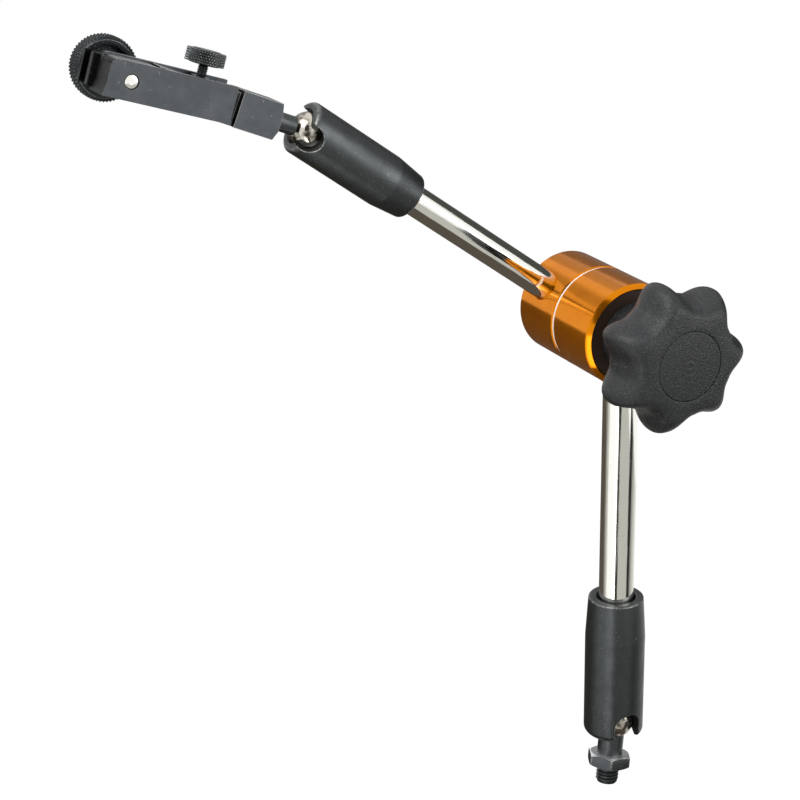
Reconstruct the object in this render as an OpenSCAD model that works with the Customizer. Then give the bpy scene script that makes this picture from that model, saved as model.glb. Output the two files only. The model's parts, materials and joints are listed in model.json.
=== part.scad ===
// Articulated gauge holding arm with one central locking knob.
// Origin: centre of the jam nut's seat face. +Z points up along the mounting stud.
// Arm frames: +Z runs along the arm. Elbow frame: +Z runs from the elbow's seam to the knob.
// Head frame: +Z runs away from the upper ball, +Y points to the fine screw's side.

/* [Rest pose] */
// Turn of the lower arm about the mounting stud
lower_swivel = -120; // [-180:1:180]
// Lean of the lower arm from the stud
lower_tilt = 11.4; // [0:0.1:25]
// Turn of the lower arm about its own axis
lower_roll = 56.6; // [-180:0.1:180]
// Angle of the upper arm about the elbow axis, 180 is straight
elbow_angle = -126.7; // [-180:0.1:180]
// Turn of the upper ball joint about the upper arm
upper_roll = 81; // [-180:1:180]
// Lean of the head's stud from the upper arm
upper_tilt = 13.6; // [0:0.1:35]
// Turn of the head about its own stud
upper_swivel = 99.7; // [-180:0.1:180]
// Lean of the head bar from its block
fine_tilt = 4.7; // [0:0.1:5]

/* [Mounting stud] */
// Outside diameter of the mounting thread
stud_d = 8; // [6:0.5:8.5]
// Length of the thread below the nut
stud_len = 6.5; // [4:0.5:20]
// Diameter of the shank that carries the ball
shank_d = 9; // [8.5:0.1:9.2]
// Width of the jam nut across its flats
nut_af = 14; // [13:0.5:17]
// Thickness of the jam nut
nut_h = 4.5; // [3:0.5:6.5]
// Turn of the jam nut on its thread
nut_turn = 31; // [0:1:60]
// Height of the lower ball's centre above the nut's seat
ball_h = 17.5; // [15:0.5:30]

/* [Lower arm] */
// Distance from the lower ball's centre to the elbow axis
lower_len = 146; // [110:1:200]
// Diameter of the lower ball
lower_ball_d = 14.5; // [14:0.1:15]
// Outside diameter of the lower socket
lower_socket_d = 21; // [19.5:0.5:24]
// Length of the lower socket above the ball's centre
lower_socket_len = 48.5; // [40:0.5:60]
// Diameter of the lower socket's tapered end
lower_end_d = 19.2; // [17.5:0.1:19.5]
// Length of the lower socket's taper
lower_taper = 15; // [8:0.5:20]
// Outside diameter of the lower tube
lower_tube_d = 12; // [10.5:0.1:12.5]
// Diameter of the push rod in the lower tube
lower_rod_d = 6; // [4:0.1:6.5]
// Width of the notch in the lower socket
lower_slot_w = 9.8; // [9.5:0.1:11]
// Height of the notch's round end above the ball's centre
lower_slot_z = 1; // [-2:0.1:3]
// Direction of the lower notch about the arm
lower_slot_az = 0; // [-180:1:180]

/* [Upper arm] */
// Distance from the elbow axis to the upper ball's centre
upper_len = 123.6; // [95:0.1:170]
// Diameter of the upper ball
upper_ball_d = 12; // [11.5:0.1:12.5]
// Outside diameter of the upper socket
upper_socket_d = 17.7; // [16.5:0.1:20]
// Length of the upper socket above the ball's centre
upper_socket_len = 43; // [36:0.5:55]
// Diameter of the upper socket's tapered end
upper_end_d = 15.3; // [14:0.1:16.2]
// Length of the upper socket's taper
upper_taper = 11; // [6:0.5:16]
// Outside diameter of the upper tube
upper_tube_d = 10; // [9:0.1:10.5]
// Diameter of the push rod in the upper tube
upper_rod_d = 5; // [3.5:0.1:5.5]
// Width of the notch in the upper socket
upper_slot_w = 8.6; // [7:0.1:9.5]
// Height of the notch's round end above the ball's centre
upper_slot_z = -1.7; // [-2:0.1:2]
// Direction of the upper notch about the arm
upper_slot_az = -164; // [-180:1:180]
// Diameter of the upper stud's neck
neck_d = 6; // [5:0.1:6.5]

/* [Elbow] */
// Outside diameter of the elbow housing
elbow_d = 35.5; // [34:0.5:42]
// Depth of the near housing, from the seam to its rim
near_len = 22.6; // [22:0.1:26]
// Depth of the far housing, from the seam to its end
far_len = 22.5; // [22:0.1:26]
// Distance from the seam to the lower arm's axis
lower_off = 15.4; // [15:0.1:16]
// Distance from the seam to the upper arm's axis
upper_off = 11.3; // [11:0.1:12]
// Thickness of the friction washer between the halves
seam_t = 0.8; // [0.5:0.1:1.5]
// Inside diameter of the near housing's rim
rim_d = 32; // [28:0.5:33]
// Diameter of the draw bolt
bolt_d = 8; // [6:0.5:8.4]
// Diameter of the wedge cones
cone_d = 16; // [15.5:0.1:17]
// Angle of the wedge cones from the bolt's axis
cone_angle = 30; // [25:1:32]

/* [Star knob] */
// Diameter over the star knob's lobes
knob_d = 51; // [44:0.5:60]
// Number of lobes on the star knob
knob_lobes = 7; // [5:1:9]
// Depth of the hollows between the lobes
knob_scoop = 5.2; // [2:0.1:6]
// Thickness of the knob's lobed part
knob_h = 20; // [16:0.5:26]
// Height of the knob's hub below its lobes
hub_h = 13.4; // [10:0.1:20]
// Diameter of the knob's hub
hub_d = 24; // [20:0.5:27]
// Diameter of the cap in the knob's face
cap_d = 23; // [18:0.5:26]
// Turn of the star knob
knob_turn = 38.5; // [-180:1:180]

/* [Head] */
// Distance from the upper ball's centre to the block
neck_len = 12; // [10:0.1:20]
// Width of the block and the bar
bar_w = 12.8; // [12:0.1:16]
// Height of the block and the bar
bar_h = 11.5; // [10.5:0.1:15]
// Length of the block
block_len = 14.4; // [13:0.1:20]
// Gap between the block and the bar
split_gap = 1.8; // [1.4:0.1:3]
// Length of the bar
bar_len = 40.1; // [39.6:0.1:55]
// Distance from the bar's inner end to the clamp bolt
clamp_at = 32.9; // [32.4:0.1:34]
// Distance from the bar's inner end to the tilt pin
pivot_at = 5.5; // [5:0.1:6.5]
// Distance from the bar's inner end to the fine screw
screw_at = 10.2; // [10:0.1:11.5]
// Width of the block's tongue
tongue_w = 7.4; // [7:0.1:8]
// Height of the bar's far wall above its near wall
far_rise = 0.6; // [0:0.1:1.2]
// Shank diameter of the fine screw
screw_d = 3.2; // [2.4:0.1:3.4]
// Diameter of the fine screw's knurled head
screw_head_d = 12.2; // [8:0.1:13]
// Thickness of the fine screw's knurled head
screw_head_h = 4; // [3:0.1:6]
// Gap between the bar and the fine screw's head
screw_lift = 4.2; // [3.5:0.1:6]

/* [Clamp] */
// Diameter of the clamp bolt
clamp_bolt_d = 4.6; // [4:0.1:5]
// Bore of the stem clamp
stem_d = 8; // [6:0.1:8.2]
// Thickness of the stem clamp
clamp_t = 11.6; // [11.4:0.1:13]
// Height of the stem clamp
clamp_h = 10; // [8:0.1:12]
// Distance from the clamp bolt to the stem bore
stem_at = 8.4; // [8.2:0.1:10]
// Width of the stem clamp's slit
slit_w = 1.2; // [0.8:0.1:1.6]
// Diameter of the knurled clamp knob
clamp_knob_d = 20.4; // [18:0.1:26]
// Thickness of the knurled clamp knob
clamp_knob_h = 6.6; // [6:0.1:10]

/* [Hidden] */

$fn = 64;
eps = 0.01;
// Radial clearances: ball in socket, turning fit, free space round a moving piece.
ball_gap = 0.05;
run_gap = 0.05;
free_gap = 0.3;

// Pitch diameter of the thread inside the nut.
nut_thread_d = stud_d - 0.8;

// Balls and sockets
spigot_d = 5;
upper_spigot_d = 3.5;
lower_lip = 3;
lower_mouth = 4.8;
lower_round = 2.5;
lower_flare = 1.25;
upper_lip = 2;
upper_mouth = 3.2;
upper_round = 1.5;
upper_flare = 0.55;
lower_end_round = 1.6;
upper_end_round = 2.1;
// Countersink round the tube at a socket's end: how much wider at the side, and how deep.
lower_entry = [1, 2.5];
upper_entry = [0.5, 1.6];
cup_len = 12;
tube_grip = 26;
cup_wall = 1.35;

// Elbow
thread_pitch = 1.25;
spigot_cut = 1.2;
spigot_r = 9;
seat_depth = 1.4;
cone_mid = 6.5;
head_mid = 6;
recess_z = near_len - 1.8;
washer_t = 1.2;
sleeve_z = 6.2;
sleeve_neck = bolt_d / 2 + 0.9;
rod_travel = 0.5 * thread_pitch * tan(cone_angle);
wall_z = 5.9;
edge_cut = 0.5;
rim_cut = 0.6;
plug_t = 1.2;
bolt_back = plug_t + 0.9 - far_len;
near_bevel = 0.3;
far_bevel = 1;
far_cut = 1;
sleeve_end = recess_z + 0.15;
hub_z = sleeve_end + washer_t + run_gap;
knob_z = hub_z + hub_h;
knob_top = knob_z + knob_h;
insert_d = 13;
lobe_sharp = 1.6;
cap_t = 2;
// Shape of a lobe, from the hub up: share of the radius, of the scoop's depth and of the height.
lobe_rows = [
    [0.785, 0.54, 0], [0.87, 0.8, 0.04], [0.925, 0.94, 0.1], [0.97, 0.97, 0.18], [0.99, 0.97, 0.275],
    [1, 1, 0.475], [0.99, 0.99, 0.56], [0.96, 0.96, 0.65], [0.925, 0.88, 0.74], [0.88, 0.77, 0.82],
    [0.835, 0.63, 0.885], [0.785, 0.5, 0.935], [0.73, 0.39, 0.967], [0.667, 0.27, 0.985], [0.5, 0.05, 1]
];

// Head
bar_z = neck_len + block_len + split_gap;
pivot_z = bar_z + pivot_at;
floor_t = 2;
slot_wall = (bar_w - tongue_w) / 2 - free_gap;
slot_len = 26;
tongue_len = 25;
relief_len = 8.5;
tongue_low = floor_t - bar_h / 2 + 2 * free_gap;
tongue_high = bar_h / 2 - 1.15;
pin_d = 2.5;
bore_blind = 1;
collar_d = 6;
collar_t = 0.6;
// Top of the tongue at the fine screw, in the bar's frame.
collar_y = tongue_high * cos(fine_tilt) + (screw_at - pivot_at + collar_d / 2) * sin(fine_tilt) + run_gap;
spring_d = 4;
spring_wire = 0.7;
spring_turns = 5;
spring_pocket = 4.5;
spring_reach = 14.5;
// Roof of the spring's pocket, in the bar's frame.
spring_y = (tongue_low + spring_pocket) * cos(fine_tilt)
    + (spring_reach - spring_d / 2) * sin(fine_tilt) - run_gap;
chin_h = 2.9;
chin_l = 1.1;
brow_h = 4.1;
nose = 0.7;
nose_r = 2.2;
far_face = -bar_w / 2;
clamp_gap = 0.1;
clamp_x = far_face - clamp_gap;
clamp_far = clamp_x - clamp_t;
clamp_washer_t = 0.65;
clamp_face = clamp_far - clamp_washer_t - run_gap;
groove_in = 10;
groove_out = 14.6;
groove_deep = 3;
knob_edge = 1.4;
dove_w = 6.5;
dove_deep = 2.6;
dove_angle = 30;
clamp_end = 9;

// ---------- places ----------

module lower_place() {
    translate([0, 0, ball_h])
        rotate([0, 0, lower_swivel])
            rotate([0, lower_tilt, 0])
                rotate([0, 0, lower_roll])
                    children();
}

module elbow_place() {
    lower_place()
        translate([-lower_off, 0, lower_len])
            rotate([0, 90, 0])
                children();
}

// Places an arm's own frame on the elbow, with +Z running outward along the arm.
module arm_on_elbow(turn, off) {
    rotate([0, 0, turn])
        translate([0, 0, off])
            rotate([0, 90, 0])
                children();
}

module upper_place() {
    elbow_place()
        arm_on_elbow(elbow_angle, -upper_off)
            children();
}

// The upper ball's own frame lies along the upper arm, with +Z toward the elbow.
module head_place() {
    upper_place()
        translate([0, 0, upper_len])
            rotate([0, 0, upper_roll])
                rotate([0, upper_tilt, 0])
                    rotate([0, 0, upper_swivel])
                        children();
}

module bar_place() {
    head_place()
        translate([0, 0, pivot_z])
            rotate([fine_tilt, 0, 0])
                translate([0, 0, -pivot_at])
                    children();
}

module clamp_place() {
    bar_place()
        translate([0, 0, clamp_at])
            children();
}

// ---------- shared shapes ----------

// A box centred on X and Y that stands on Z = 0.
module bar_block(w, h, len) {
    translate([-w / 2, -h / 2, 0])
        cube([w, h, len]);
}

// A round piece that lies along X from x0 to x1.
module cross_round(d, x0, x1) {
    translate([x0, 0, 0])
        rotate([0, 90, 0])
            cylinder(d = d, h = x1 - x0);
}

// Quarter-round outline points from one angle to another.
function arc_points(x, y, r, from, to, steps = 6) =
    [for (i = [0:steps]) [
        x + r * cos(from + (to - from) * i / steps),
        y + r * sin(from + (to - from) * i / steps)
    ]];

// Height of a ball's surface at radius r, measured from its centre.
function ball_z(ball_r, r) = sqrt(ball_r * ball_r - r * r);

// A ball socket: ball seat and notch at the low end, tube entry at the high end.
module socket(d, len, end_d, taper, end_round, entry, ball_d, tube_d, lip, mouth, edge, flare) {
    seat_r = ball_d / 2 + ball_gap;
    bore_r = ball_d / 2 - cup_wall;
    lip_r = ball_z(seat_r, lip);
    difference() {
        rotate_extrude()
            polygon(concat(
                [[0, -mouth]],
                arc_points(d / 2 - edge, edge - mouth, edge, -90, 0),
                [[d / 2, len - taper]],
                arc_points(end_d / 2 - end_round, len - end_round, end_round, 8, 90),
                [[0, len]]
            ));
        sphere(r = seat_r);
        translate([0, 0, -mouth - eps])
            cylinder(r1 = lip_r + flare, r2 = lip_r, h = mouth - lip + eps);
        translate([0, 0, -lip - eps])
            cylinder(r = lip_r, h = lip / 2);
        cylinder(r = bore_r, h = len - tube_grip + eps);
        cylinder(d = tube_d, h = len + eps);
        translate([0, 0, len - entry[1]])
            cylinder(d1 = tube_d, d2 = tube_d + 2 * entry[0], h = entry[1] + eps);
        children();
    }
}

// A notch with a round end, open at the socket's mouth.
module notch(w, z, d, mouth) {
    translate([0, 0, z])
        rotate([0, 90, 0])
            cylinder(d = w, h = d);
    translate([0, -w / 2, -mouth - 1])
        cube([d, w, mouth + 1 + z]);
}

// The cup that a push rod presses on a ball.
module seat_cup(ball_d) {
    seat_r = ball_d / 2 + ball_gap;
    cup_r = ball_d / 2 - cup_wall - run_gap;
    difference() {
        translate([0, 0, ball_z(seat_r, cup_r)])
            cylinder(r = cup_r, h = cup_len - ball_z(seat_r, cup_r));
        sphere(r = seat_r);
    }
}

// A ball with a flat for its shank and a bore for the shank's spigot.
module joint_ball(d, neck, spigot) {
    difference() {
        sphere(d = d);
        translate([0, 0, -d])
            cylinder(d = d, h = d - ball_z(d / 2, neck / 2));
        translate([0, 0, -d])
            cylinder(d = spigot + 2 * run_gap, h = d);
    }
}

// A plain tube with a turned-down end for the elbow.
module arm_tube(d, rod_d, from, arm_len) {
    seat = arm_len - elbow_d / 2 + seat_depth;
    difference() {
        union() {
            translate([0, 0, from])
                cylinder(d = d, h = seat - from);
            translate([0, 0, from])
                cylinder(d = d - 2 * spigot_cut, h = arm_len - spigot_r - from);
        }
        translate([0, 0, from - eps])
            cylinder(d = rod_d + 4 * run_gap, h = arm_len);
    }
}

// The radial hole in the elbow for a tube's end, with its axis along +X.
module tube_hole(d, rod_d, bevel) {
    cross_round(rod_d + 4 * run_gap, 0, elbow_d);
    cross_round(d - 2 * spigot_cut, spigot_r, elbow_d);
    cross_round(d, elbow_d / 2 - seat_depth, elbow_d);
    translate([elbow_d / 2 - bevel, 0, 0])
        rotate([0, 90, 0])
            cylinder(d1 = d, d2 = d + 4 * bevel, h = 2 * bevel);
}

// ---------- mounting stud ----------

module base_stud() {
    shank_top = ball_h - ball_z(lower_ball_d / 2, shank_d / 2);
    color("#26282b")
        rotate_extrude()
            polygon([
                [0, -stud_len],
                [stud_d / 2 - 0.7, -stud_len],
                [stud_d / 2, 0.7 - stud_len],
                [stud_d / 2, 0],
                [nut_thread_d / 2, 0],
                [nut_thread_d / 2, nut_h],
                [shank_d / 2, nut_h],
                [shank_d / 2, shank_top],
                [spigot_d / 2, shank_top],
                [spigot_d / 2, ball_h - 0.5],
                [0, ball_h - 0.5]
            ]);
}

module jam_nut() {
    color("#26282b")
        rotate([0, 0, nut_turn])
            difference() {
                intersection() {
                    cylinder(d = nut_af / cos(30), h = nut_h, $fn = 6);
                    rotate_extrude()
                        polygon([
                            [0, 0],
                            [nut_af / 2 - 0.2, 0],
                            [nut_af / 2 / cos(30), 0.7],
                            [nut_af / 2 / cos(30), nut_h - 0.7],
                            [nut_af / 2 - 0.2, nut_h],
                            [0, nut_h]
                        ]);
                }
                translate([0, 0, -eps])
                    cylinder(d = nut_thread_d + 2 * run_gap, h = nut_h + 2 * eps);
            }
}

// ---------- lower arm ----------

module lower_ball() {
    color("#d8d8d4")
        translate([0, 0, ball_h])
            joint_ball(lower_ball_d, shank_d, spigot_d);
}

module lower_seat_cup() {
    color("#8d8f92")
        lower_place()
            seat_cup(lower_ball_d);
}

module lower_socket() {
    color("#2b2c2e")
        lower_place()
            socket(lower_socket_d, lower_socket_len, lower_end_d, lower_taper, lower_end_round, lower_entry,
                lower_ball_d, lower_tube_d, lower_lip, lower_mouth, lower_round, lower_flare)
                rotate([0, 0, lower_slot_az])
                    notch(lower_slot_w, lower_slot_z, lower_socket_d, lower_mouth);
}

module lower_tube() {
    color("#c9cacb")
        lower_place()
            arm_tube(lower_tube_d, lower_rod_d, lower_socket_len - tube_grip, lower_len);
}

module lower_push_rod() {
    color("#8d8f92")
        lower_place()
            difference() {
                translate([0, 0, cup_len + run_gap])
                    cylinder(d = lower_rod_d, h = lower_len - cone_mid + 2 - cup_len - run_gap);
                translate([-lower_off, 0, lower_len])
                    rotate([0, 90, 0])
                        sleeve_sweep(2 * run_gap);
            }
}

// ---------- elbow ----------

// Radius of the sleeve's wedge at a place on the elbow axis, and the other way round.
function sleeve_r(z) = cone_mid + (z - lower_off) * tan(cone_angle);
function sleeve_at(r) = lower_off + (r - cone_mid) / tan(cone_angle);

// Radius of the bolt's wedge at a place on the elbow axis, and the other way round.
function bolt_r(z) = head_mid - (z + upper_off) * tan(cone_angle);
function bolt_at(r) = -upper_off - (r - head_mid) / tan(cone_angle);

// The wedge that pushes the lower rod.
module sleeve_cone() {
    rotate_extrude()
        polygon([
            [0, sleeve_z],
            [sleeve_neck, sleeve_z],
            [sleeve_neck, sleeve_at(sleeve_neck)],
            [cone_d / 2, sleeve_at(cone_d / 2)],
            [cone_d / 2, sleeve_end],
            [0, sleeve_end]
        ]);
}

// The room that the sleeve's wedge takes at a rod's tip over its travel, grown by a clearance.
module sleeve_sweep(grow) {
    neck = sleeve_neck + rod_travel;
    rotate_extrude()
        polygon([
            [0, 0],
            [neck + grow, 0],
            [neck + grow, sleeve_at(neck)],
            [sleeve_r(near_len) + grow, near_len],
            [0, near_len]
        ]);
}

// The wedge and shaft that push the upper rod.
module bolt_cone() {
    rotate_extrude()
        polygon([
            [0, bolt_back],
            [cone_d / 2, bolt_back],
            [cone_d / 2, bolt_at(cone_d / 2)],
            [bolt_d / 2, bolt_at(bolt_d / 2)],
            [bolt_d / 2, seam_t],
            [0, seam_t]
        ]);
}

// The room that the bolt's wedge takes at a rod's tip over its travel, grown by a clearance.
module bolt_sweep(grow) {
    neck = bolt_d / 2 + rod_travel;
    rotate_extrude()
        polygon([
            [0, 0],
            [neck + grow, 0],
            [neck + grow, bolt_at(neck)],
            [bolt_r(-far_len) + grow, -far_len],
            [0, -far_len]
        ]);
}

module near_housing() {
    color("#d07812")
        elbow_place()
            difference() {
                rotate_extrude()
                    polygon([
                        [bolt_d / 2 + 2 * run_gap, seam_t / 2],
                        [elbow_d / 2 - edge_cut, seam_t / 2],
                        [elbow_d / 2, seam_t / 2 + edge_cut],
                        [elbow_d / 2, near_len - rim_cut],
                        [elbow_d / 2 - rim_cut, near_len],
                        [rim_d / 2, near_len],
                        [rim_d / 2, recess_z],
                        [cone_d / 2 + run_gap, recess_z],
                        [cone_d / 2 + run_gap, wall_z],
                        [bolt_d / 2 + 2 * run_gap, wall_z]
                    ]);
                translate([0, 0, lower_off])
                    tube_hole(lower_tube_d, lower_rod_d, near_bevel);
            }
}

module friction_washer() {
    color("#ece6dc")
        elbow_place()
            difference() {
                translate([0, 0, -seam_t / 2])
                    cylinder(d = elbow_d - 2 * free_gap, h = seam_t);
                translate([0, 0, -seam_t])
                    cylinder(d = bolt_d + 4 * run_gap, h = 2 * seam_t);
            }
}

module cone_sleeve() {
    color("#8d8f92")
        elbow_place()
            difference() {
                sleeve_cone();
                cylinder(d = bolt_d + 2 * run_gap, h = near_len);
            }
}

module thrust_washer() {
    color("#2b1a10")
        elbow_place()
            translate([0, 0, sleeve_end])
                difference() {
                    cylinder(d = rim_d - 2 * free_gap, h = washer_t);
                    translate([0, 0, -eps])
                        cylinder(d = bolt_d + 2 * run_gap, h = washer_t + 2 * eps);
                }
}

module far_housing() {
    color("#d07812")
        elbow_place()
            difference() {
                rotate_extrude()
                    polygon([
                        [bolt_d / 2 + 2 * run_gap, -seam_t / 2],
                        [elbow_d / 2 - edge_cut, -seam_t / 2],
                        [elbow_d / 2, -seam_t / 2 - edge_cut],
                        [elbow_d / 2, far_cut - far_len],
                        [elbow_d / 2 - far_cut, -far_len],
                        [cone_d / 2 + run_gap, -far_len],
                        [cone_d / 2 + run_gap, -wall_z],
                        [bolt_d / 2 + 2 * run_gap, -wall_z]
                    ]);
                rotate([0, 0, elbow_angle])
                    translate([0, 0, -upper_off])
                        tube_hole(upper_tube_d, upper_rod_d, far_bevel);
            }
}

module draw_bolt() {
    color("#8d8f92")
        elbow_place() {
            bolt_cone();
            cylinder(d = bolt_d, h = knob_top - cap_t - 2);
        }
}

module end_plug() {
    color("#2b2c2e")
        elbow_place()
            translate([0, 0, -far_len])
                cylinder(d = cone_d + 2 * run_gap, h = plug_t);
}

// ---------- star knob ----------

// Radius of the knob's side at a direction, for one row of its shape.
function lobe_weight(a) = pow((1 + cos(knob_lobes * a)) / 2, lobe_sharp);
function knob_side(a, row) = knob_d / 2 * row[0] - knob_scoop * row[1] * (1 - lobe_weight(a));

module knob_body() {
    around = knob_lobes * 14;
    rings = len(lobe_rows) - 1;
    points = concat(
        [for (row = lobe_rows) for (i = [0:around - 1])
            let (a = 360 * i / around, r = knob_side(a, row))
            [r * cos(a), r * sin(a), knob_z + row[2] * knob_h]],
        [[0, 0, knob_z], [0, 0, knob_top]]
    );
    low = len(points) - 2;
    high = len(points) - 1;
    faces = concat(
        [for (j = [0:rings - 1]) for (i = [0:around - 1])
            let (n = (i + 1) % around)
            [j * around + i, (j + 1) * around + i, (j + 1) * around + n, j * around + n]],
        [for (i = [0:around - 1]) [low, i, (i + 1) % around]],
        [for (i = [0:around - 1])
            [high, rings * around + (i + 1) % around, rings * around + i]]
    );
    rotate([0, 0, knob_turn])
        polyhedron(points = points, faces = faces, convexity = 4);
}

module star_knob() {
    color("#2e3032")
        elbow_place()
            difference() {
                union() {
                    knob_body();
                    translate([0, 0, hub_z])
                        cylinder(d = hub_d, h = hub_h + 2);
                }
                translate([0, 0, hub_z - eps])
                    cylinder(d = insert_d, h = knob_top - hub_z);
                translate([0, 0, knob_top - cap_t])
                    cylinder(d = cap_d, h = cap_t + eps);
            }
}

module knob_insert() {
    color("#b08d4a")
        elbow_place()
            difference() {
                translate([0, 0, hub_z])
                    cylinder(d = insert_d, h = knob_top - cap_t - 1 - hub_z);
                cylinder(d = bolt_d + 2 * run_gap, h = knob_top);
            }
}

module knob_cap() {
    color("#2e3032")
        elbow_place()
            translate([0, 0, knob_top - cap_t])
                cylinder(d = cap_d, h = cap_t - 0.15);
}

// ---------- upper arm ----------

// Places an arm piece drawn from its ball, so that it runs from the ball to the elbow.
module upper_arm_place() {
    upper_place()
        translate([0, 0, upper_len])
            rotate([180, 0, 0])
                children();
}

module upper_tube() {
    color("#c9cacb")
        upper_arm_place()
            arm_tube(upper_tube_d, upper_rod_d, upper_socket_len - tube_grip, upper_len);
}

module upper_push_rod() {
    color("#8d8f92")
        upper_arm_place()
            difference() {
                translate([0, 0, cup_len + run_gap])
                    cylinder(d = upper_rod_d, h = upper_len - head_mid + 2 - cup_len - run_gap);
                translate([-upper_off, 0, upper_len])
                    rotate([0, -90, 0])
                        bolt_sweep(2 * run_gap);
            }
}

module upper_socket() {
    color("#2b2c2e")
        upper_arm_place()
            socket(upper_socket_d, upper_socket_len, upper_end_d, upper_taper, upper_end_round, upper_entry,
                upper_ball_d, upper_tube_d, upper_lip, upper_mouth, upper_round, upper_flare)
                rotate([0, 0, -upper_slot_az])
                    notch(upper_slot_w, upper_slot_z, upper_socket_d, upper_mouth);
}

module upper_seat_cup() {
    color("#8d8f92")
        upper_arm_place()
            seat_cup(upper_ball_d);
}

// ---------- head ----------

module upper_ball() {
    color("#d8d8d4")
        head_place()
            rotate([180, 0, 0])
                joint_ball(upper_ball_d, neck_d, upper_spigot_d);
}

module upper_stud() {
    neck_z = ball_z(upper_ball_d / 2, neck_d / 2);
    color("#26282b")
        head_place()
            rotate_extrude()
                polygon([
                    [0, 0.5],
                    [upper_spigot_d / 2, 0.5],
                    [upper_spigot_d / 2, neck_z],
                    [neck_d / 2, neck_z],
                    [neck_d / 2, neck_len],
                    [neck_d / 2 - 0.5, neck_len],
                    [neck_d / 2 - 0.5, neck_len + block_len / 2],
                    [0, neck_len + block_len / 2]
                ]);
}

// Extrudes an outline drawn as [Z, Y] across the head, from x0 to x1.
module across(x0, x1) {
    translate([x1, 0, 0])
        rotate([0, -90, 0])
            linear_extrude(x1 - x0)
                children();
}

module fine_block() {
    shoulder = neck_len + block_len;
    color("#333538")
        head_place()
            difference() {
                union() {
                    across(-bar_w / 2, bar_w / 2)
                        polygon([
                            [neck_len + chin_l, bar_h / 2],
                            [neck_len, bar_h / 2 - brow_h],
                            [neck_len, chin_h - bar_h / 2],
                            [neck_len + chin_l, -bar_h / 2],
                            [shoulder, -bar_h / 2],
                            [shoulder, bar_h / 2]
                        ]);
                    across(-tongue_w / 2, tongue_w / 2)
                        polygon([
                            [shoulder - 1, tongue_high],
                            [shoulder - 1, -bar_h / 2],
                            [bar_z + relief_len - 1.2, -bar_h / 2],
                            [bar_z + relief_len - 1.2, tongue_low],
                            [bar_z + tongue_len, tongue_low],
                            [bar_z + tongue_len, tongue_high]
                        ]);
                }
                translate([0, 0, neck_len - eps])
                    cylinder(d = neck_d - 1, h = block_len / 2 + 0.5);
                translate([0, 0, pivot_z])
                    cross_round(pin_d + 2 * run_gap, -bar_w, bar_w);
                translate([0, 0, bar_z + screw_at])
                    rotate([90, 0, 0])
                        cylinder(d = screw_d + 4 * free_gap, h = 2 * bar_h, center = true);
                translate([0, tongue_low + spring_pocket, pivot_z + spring_reach])
                    rotate([90, 0, 0])
                        cylinder(d = spring_d + 4 * free_gap, h = bar_h);
            }
}

module head_bar() {
    slot_w = bar_w - 2 * slot_wall;
    color("#333538")
        bar_place()
            difference() {
                union() {
                    across(far_face, bar_w / 2)
                        bar_outline(0);
                    across(far_face, far_face + slot_wall)
                        bar_outline(far_rise);
                }
                translate([0, floor_t, -eps])
                    bar_block(slot_w, bar_h, slot_len);
                translate([0, -floor_t, -eps])
                    bar_block(slot_w, bar_h + floor_t, relief_len);
                translate([0, 0, pivot_at])
                    cross_round(pin_d, -bar_w, bar_w / 2 - bore_blind);
                translate([0, 0, clamp_at])
                    cross_round(clamp_bolt_d, -bar_w, bar_w);
                translate([0, 0, screw_at])
                    rotate([90, 0, 0])
                        cylinder(d = screw_d - 0.6 + 2 * run_gap, h = bar_h);
            }
}

// Side outline of the bar with its slanted end, raised at the top.
module bar_outline(rise) {
    top = bar_h / 2 + rise;
    polygon(concat(
        [[0, -bar_h / 2], [bar_len + nose, -bar_h / 2], [bar_len, nose - bar_h / 4]],
        arc_points(bar_len - nose_r, top - nose_r, nose_r, 0, 90),
        [[0, top]]
    ));
}

module pivot_pin() {
    color("#333538")
        bar_place()
            translate([0, 0, pivot_at])
                cross_round(pin_d, far_face, bar_w / 2 - bore_blind);
}

module fine_screw() {
    shank_y = floor_t - bar_h / 2 + run_gap;
    head_y = bar_h / 2 + screw_lift;
    color("#2b2c2e")
        bar_place()
            translate([0, 0, screw_at])
                rotate([-90, 0, 0])
                    rotate_extrude()
                        polygon([
                            [0, -bar_h / 2],
                            [screw_d / 2 - 0.3, -bar_h / 2],
                            [screw_d / 2 - 0.3, shank_y],
                            [screw_d / 2, shank_y],
                            [screw_d / 2, collar_y],
                            [collar_d / 2, collar_y],
                            [collar_d / 2, collar_y + collar_t],
                            [screw_d / 2, collar_y + collar_t],
                            [screw_d / 2, head_y],
                            [screw_head_d / 2 - 0.4, head_y],
                            [screw_head_d / 2, head_y + 0.4],
                            [screw_head_d / 2, head_y + screw_head_h - 0.4],
                            [screw_head_d / 2 - 0.4, head_y + screw_head_h],
                            [0, head_y + screw_head_h]
                        ]);
}

module return_spring() {
    seat_y = floor_t - bar_h / 2;
    color("#8d8f92")
        bar_place()
            translate([0, seat_y, pivot_at + spring_reach])
                rotate([-90, 0, 0])
                    spring_body(spring_d, spring_wire, spring_turns, spring_y - seat_y);
}

// A compression spring that stands on Z = 0.
module spring_body(d, wire, turns, h) {
    per_turn = 12;
    sides = 6;
    n = turns * per_turn;
    r = (d - wire) / 2;
    points = [for (i = [0:n]) for (s = [0:sides - 1])
        let (a = 360 * i / per_turn, b = 360 * s / sides)
        let (q = r + wire / 2 * cos(b))
        [q * cos(a), q * sin(a), wire / 2 + (h - wire) * i / n + wire / 2 * sin(b)]];
    faces = concat(
        [[for (s = [0:sides - 1]) s]],
        [for (i = [0:n - 1]) for (s = [0:sides - 1])
            let (t = (s + 1) % sides)
            [i * sides + t, i * sides + s, (i + 1) * sides + s, (i + 1) * sides + t]],
        [[for (s = [0:sides - 1]) n * sides + sides - 1 - s]]
    );
    polyhedron(points = points, faces = faces, convexity = 4);
}

// ---------- clamp ----------

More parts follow.
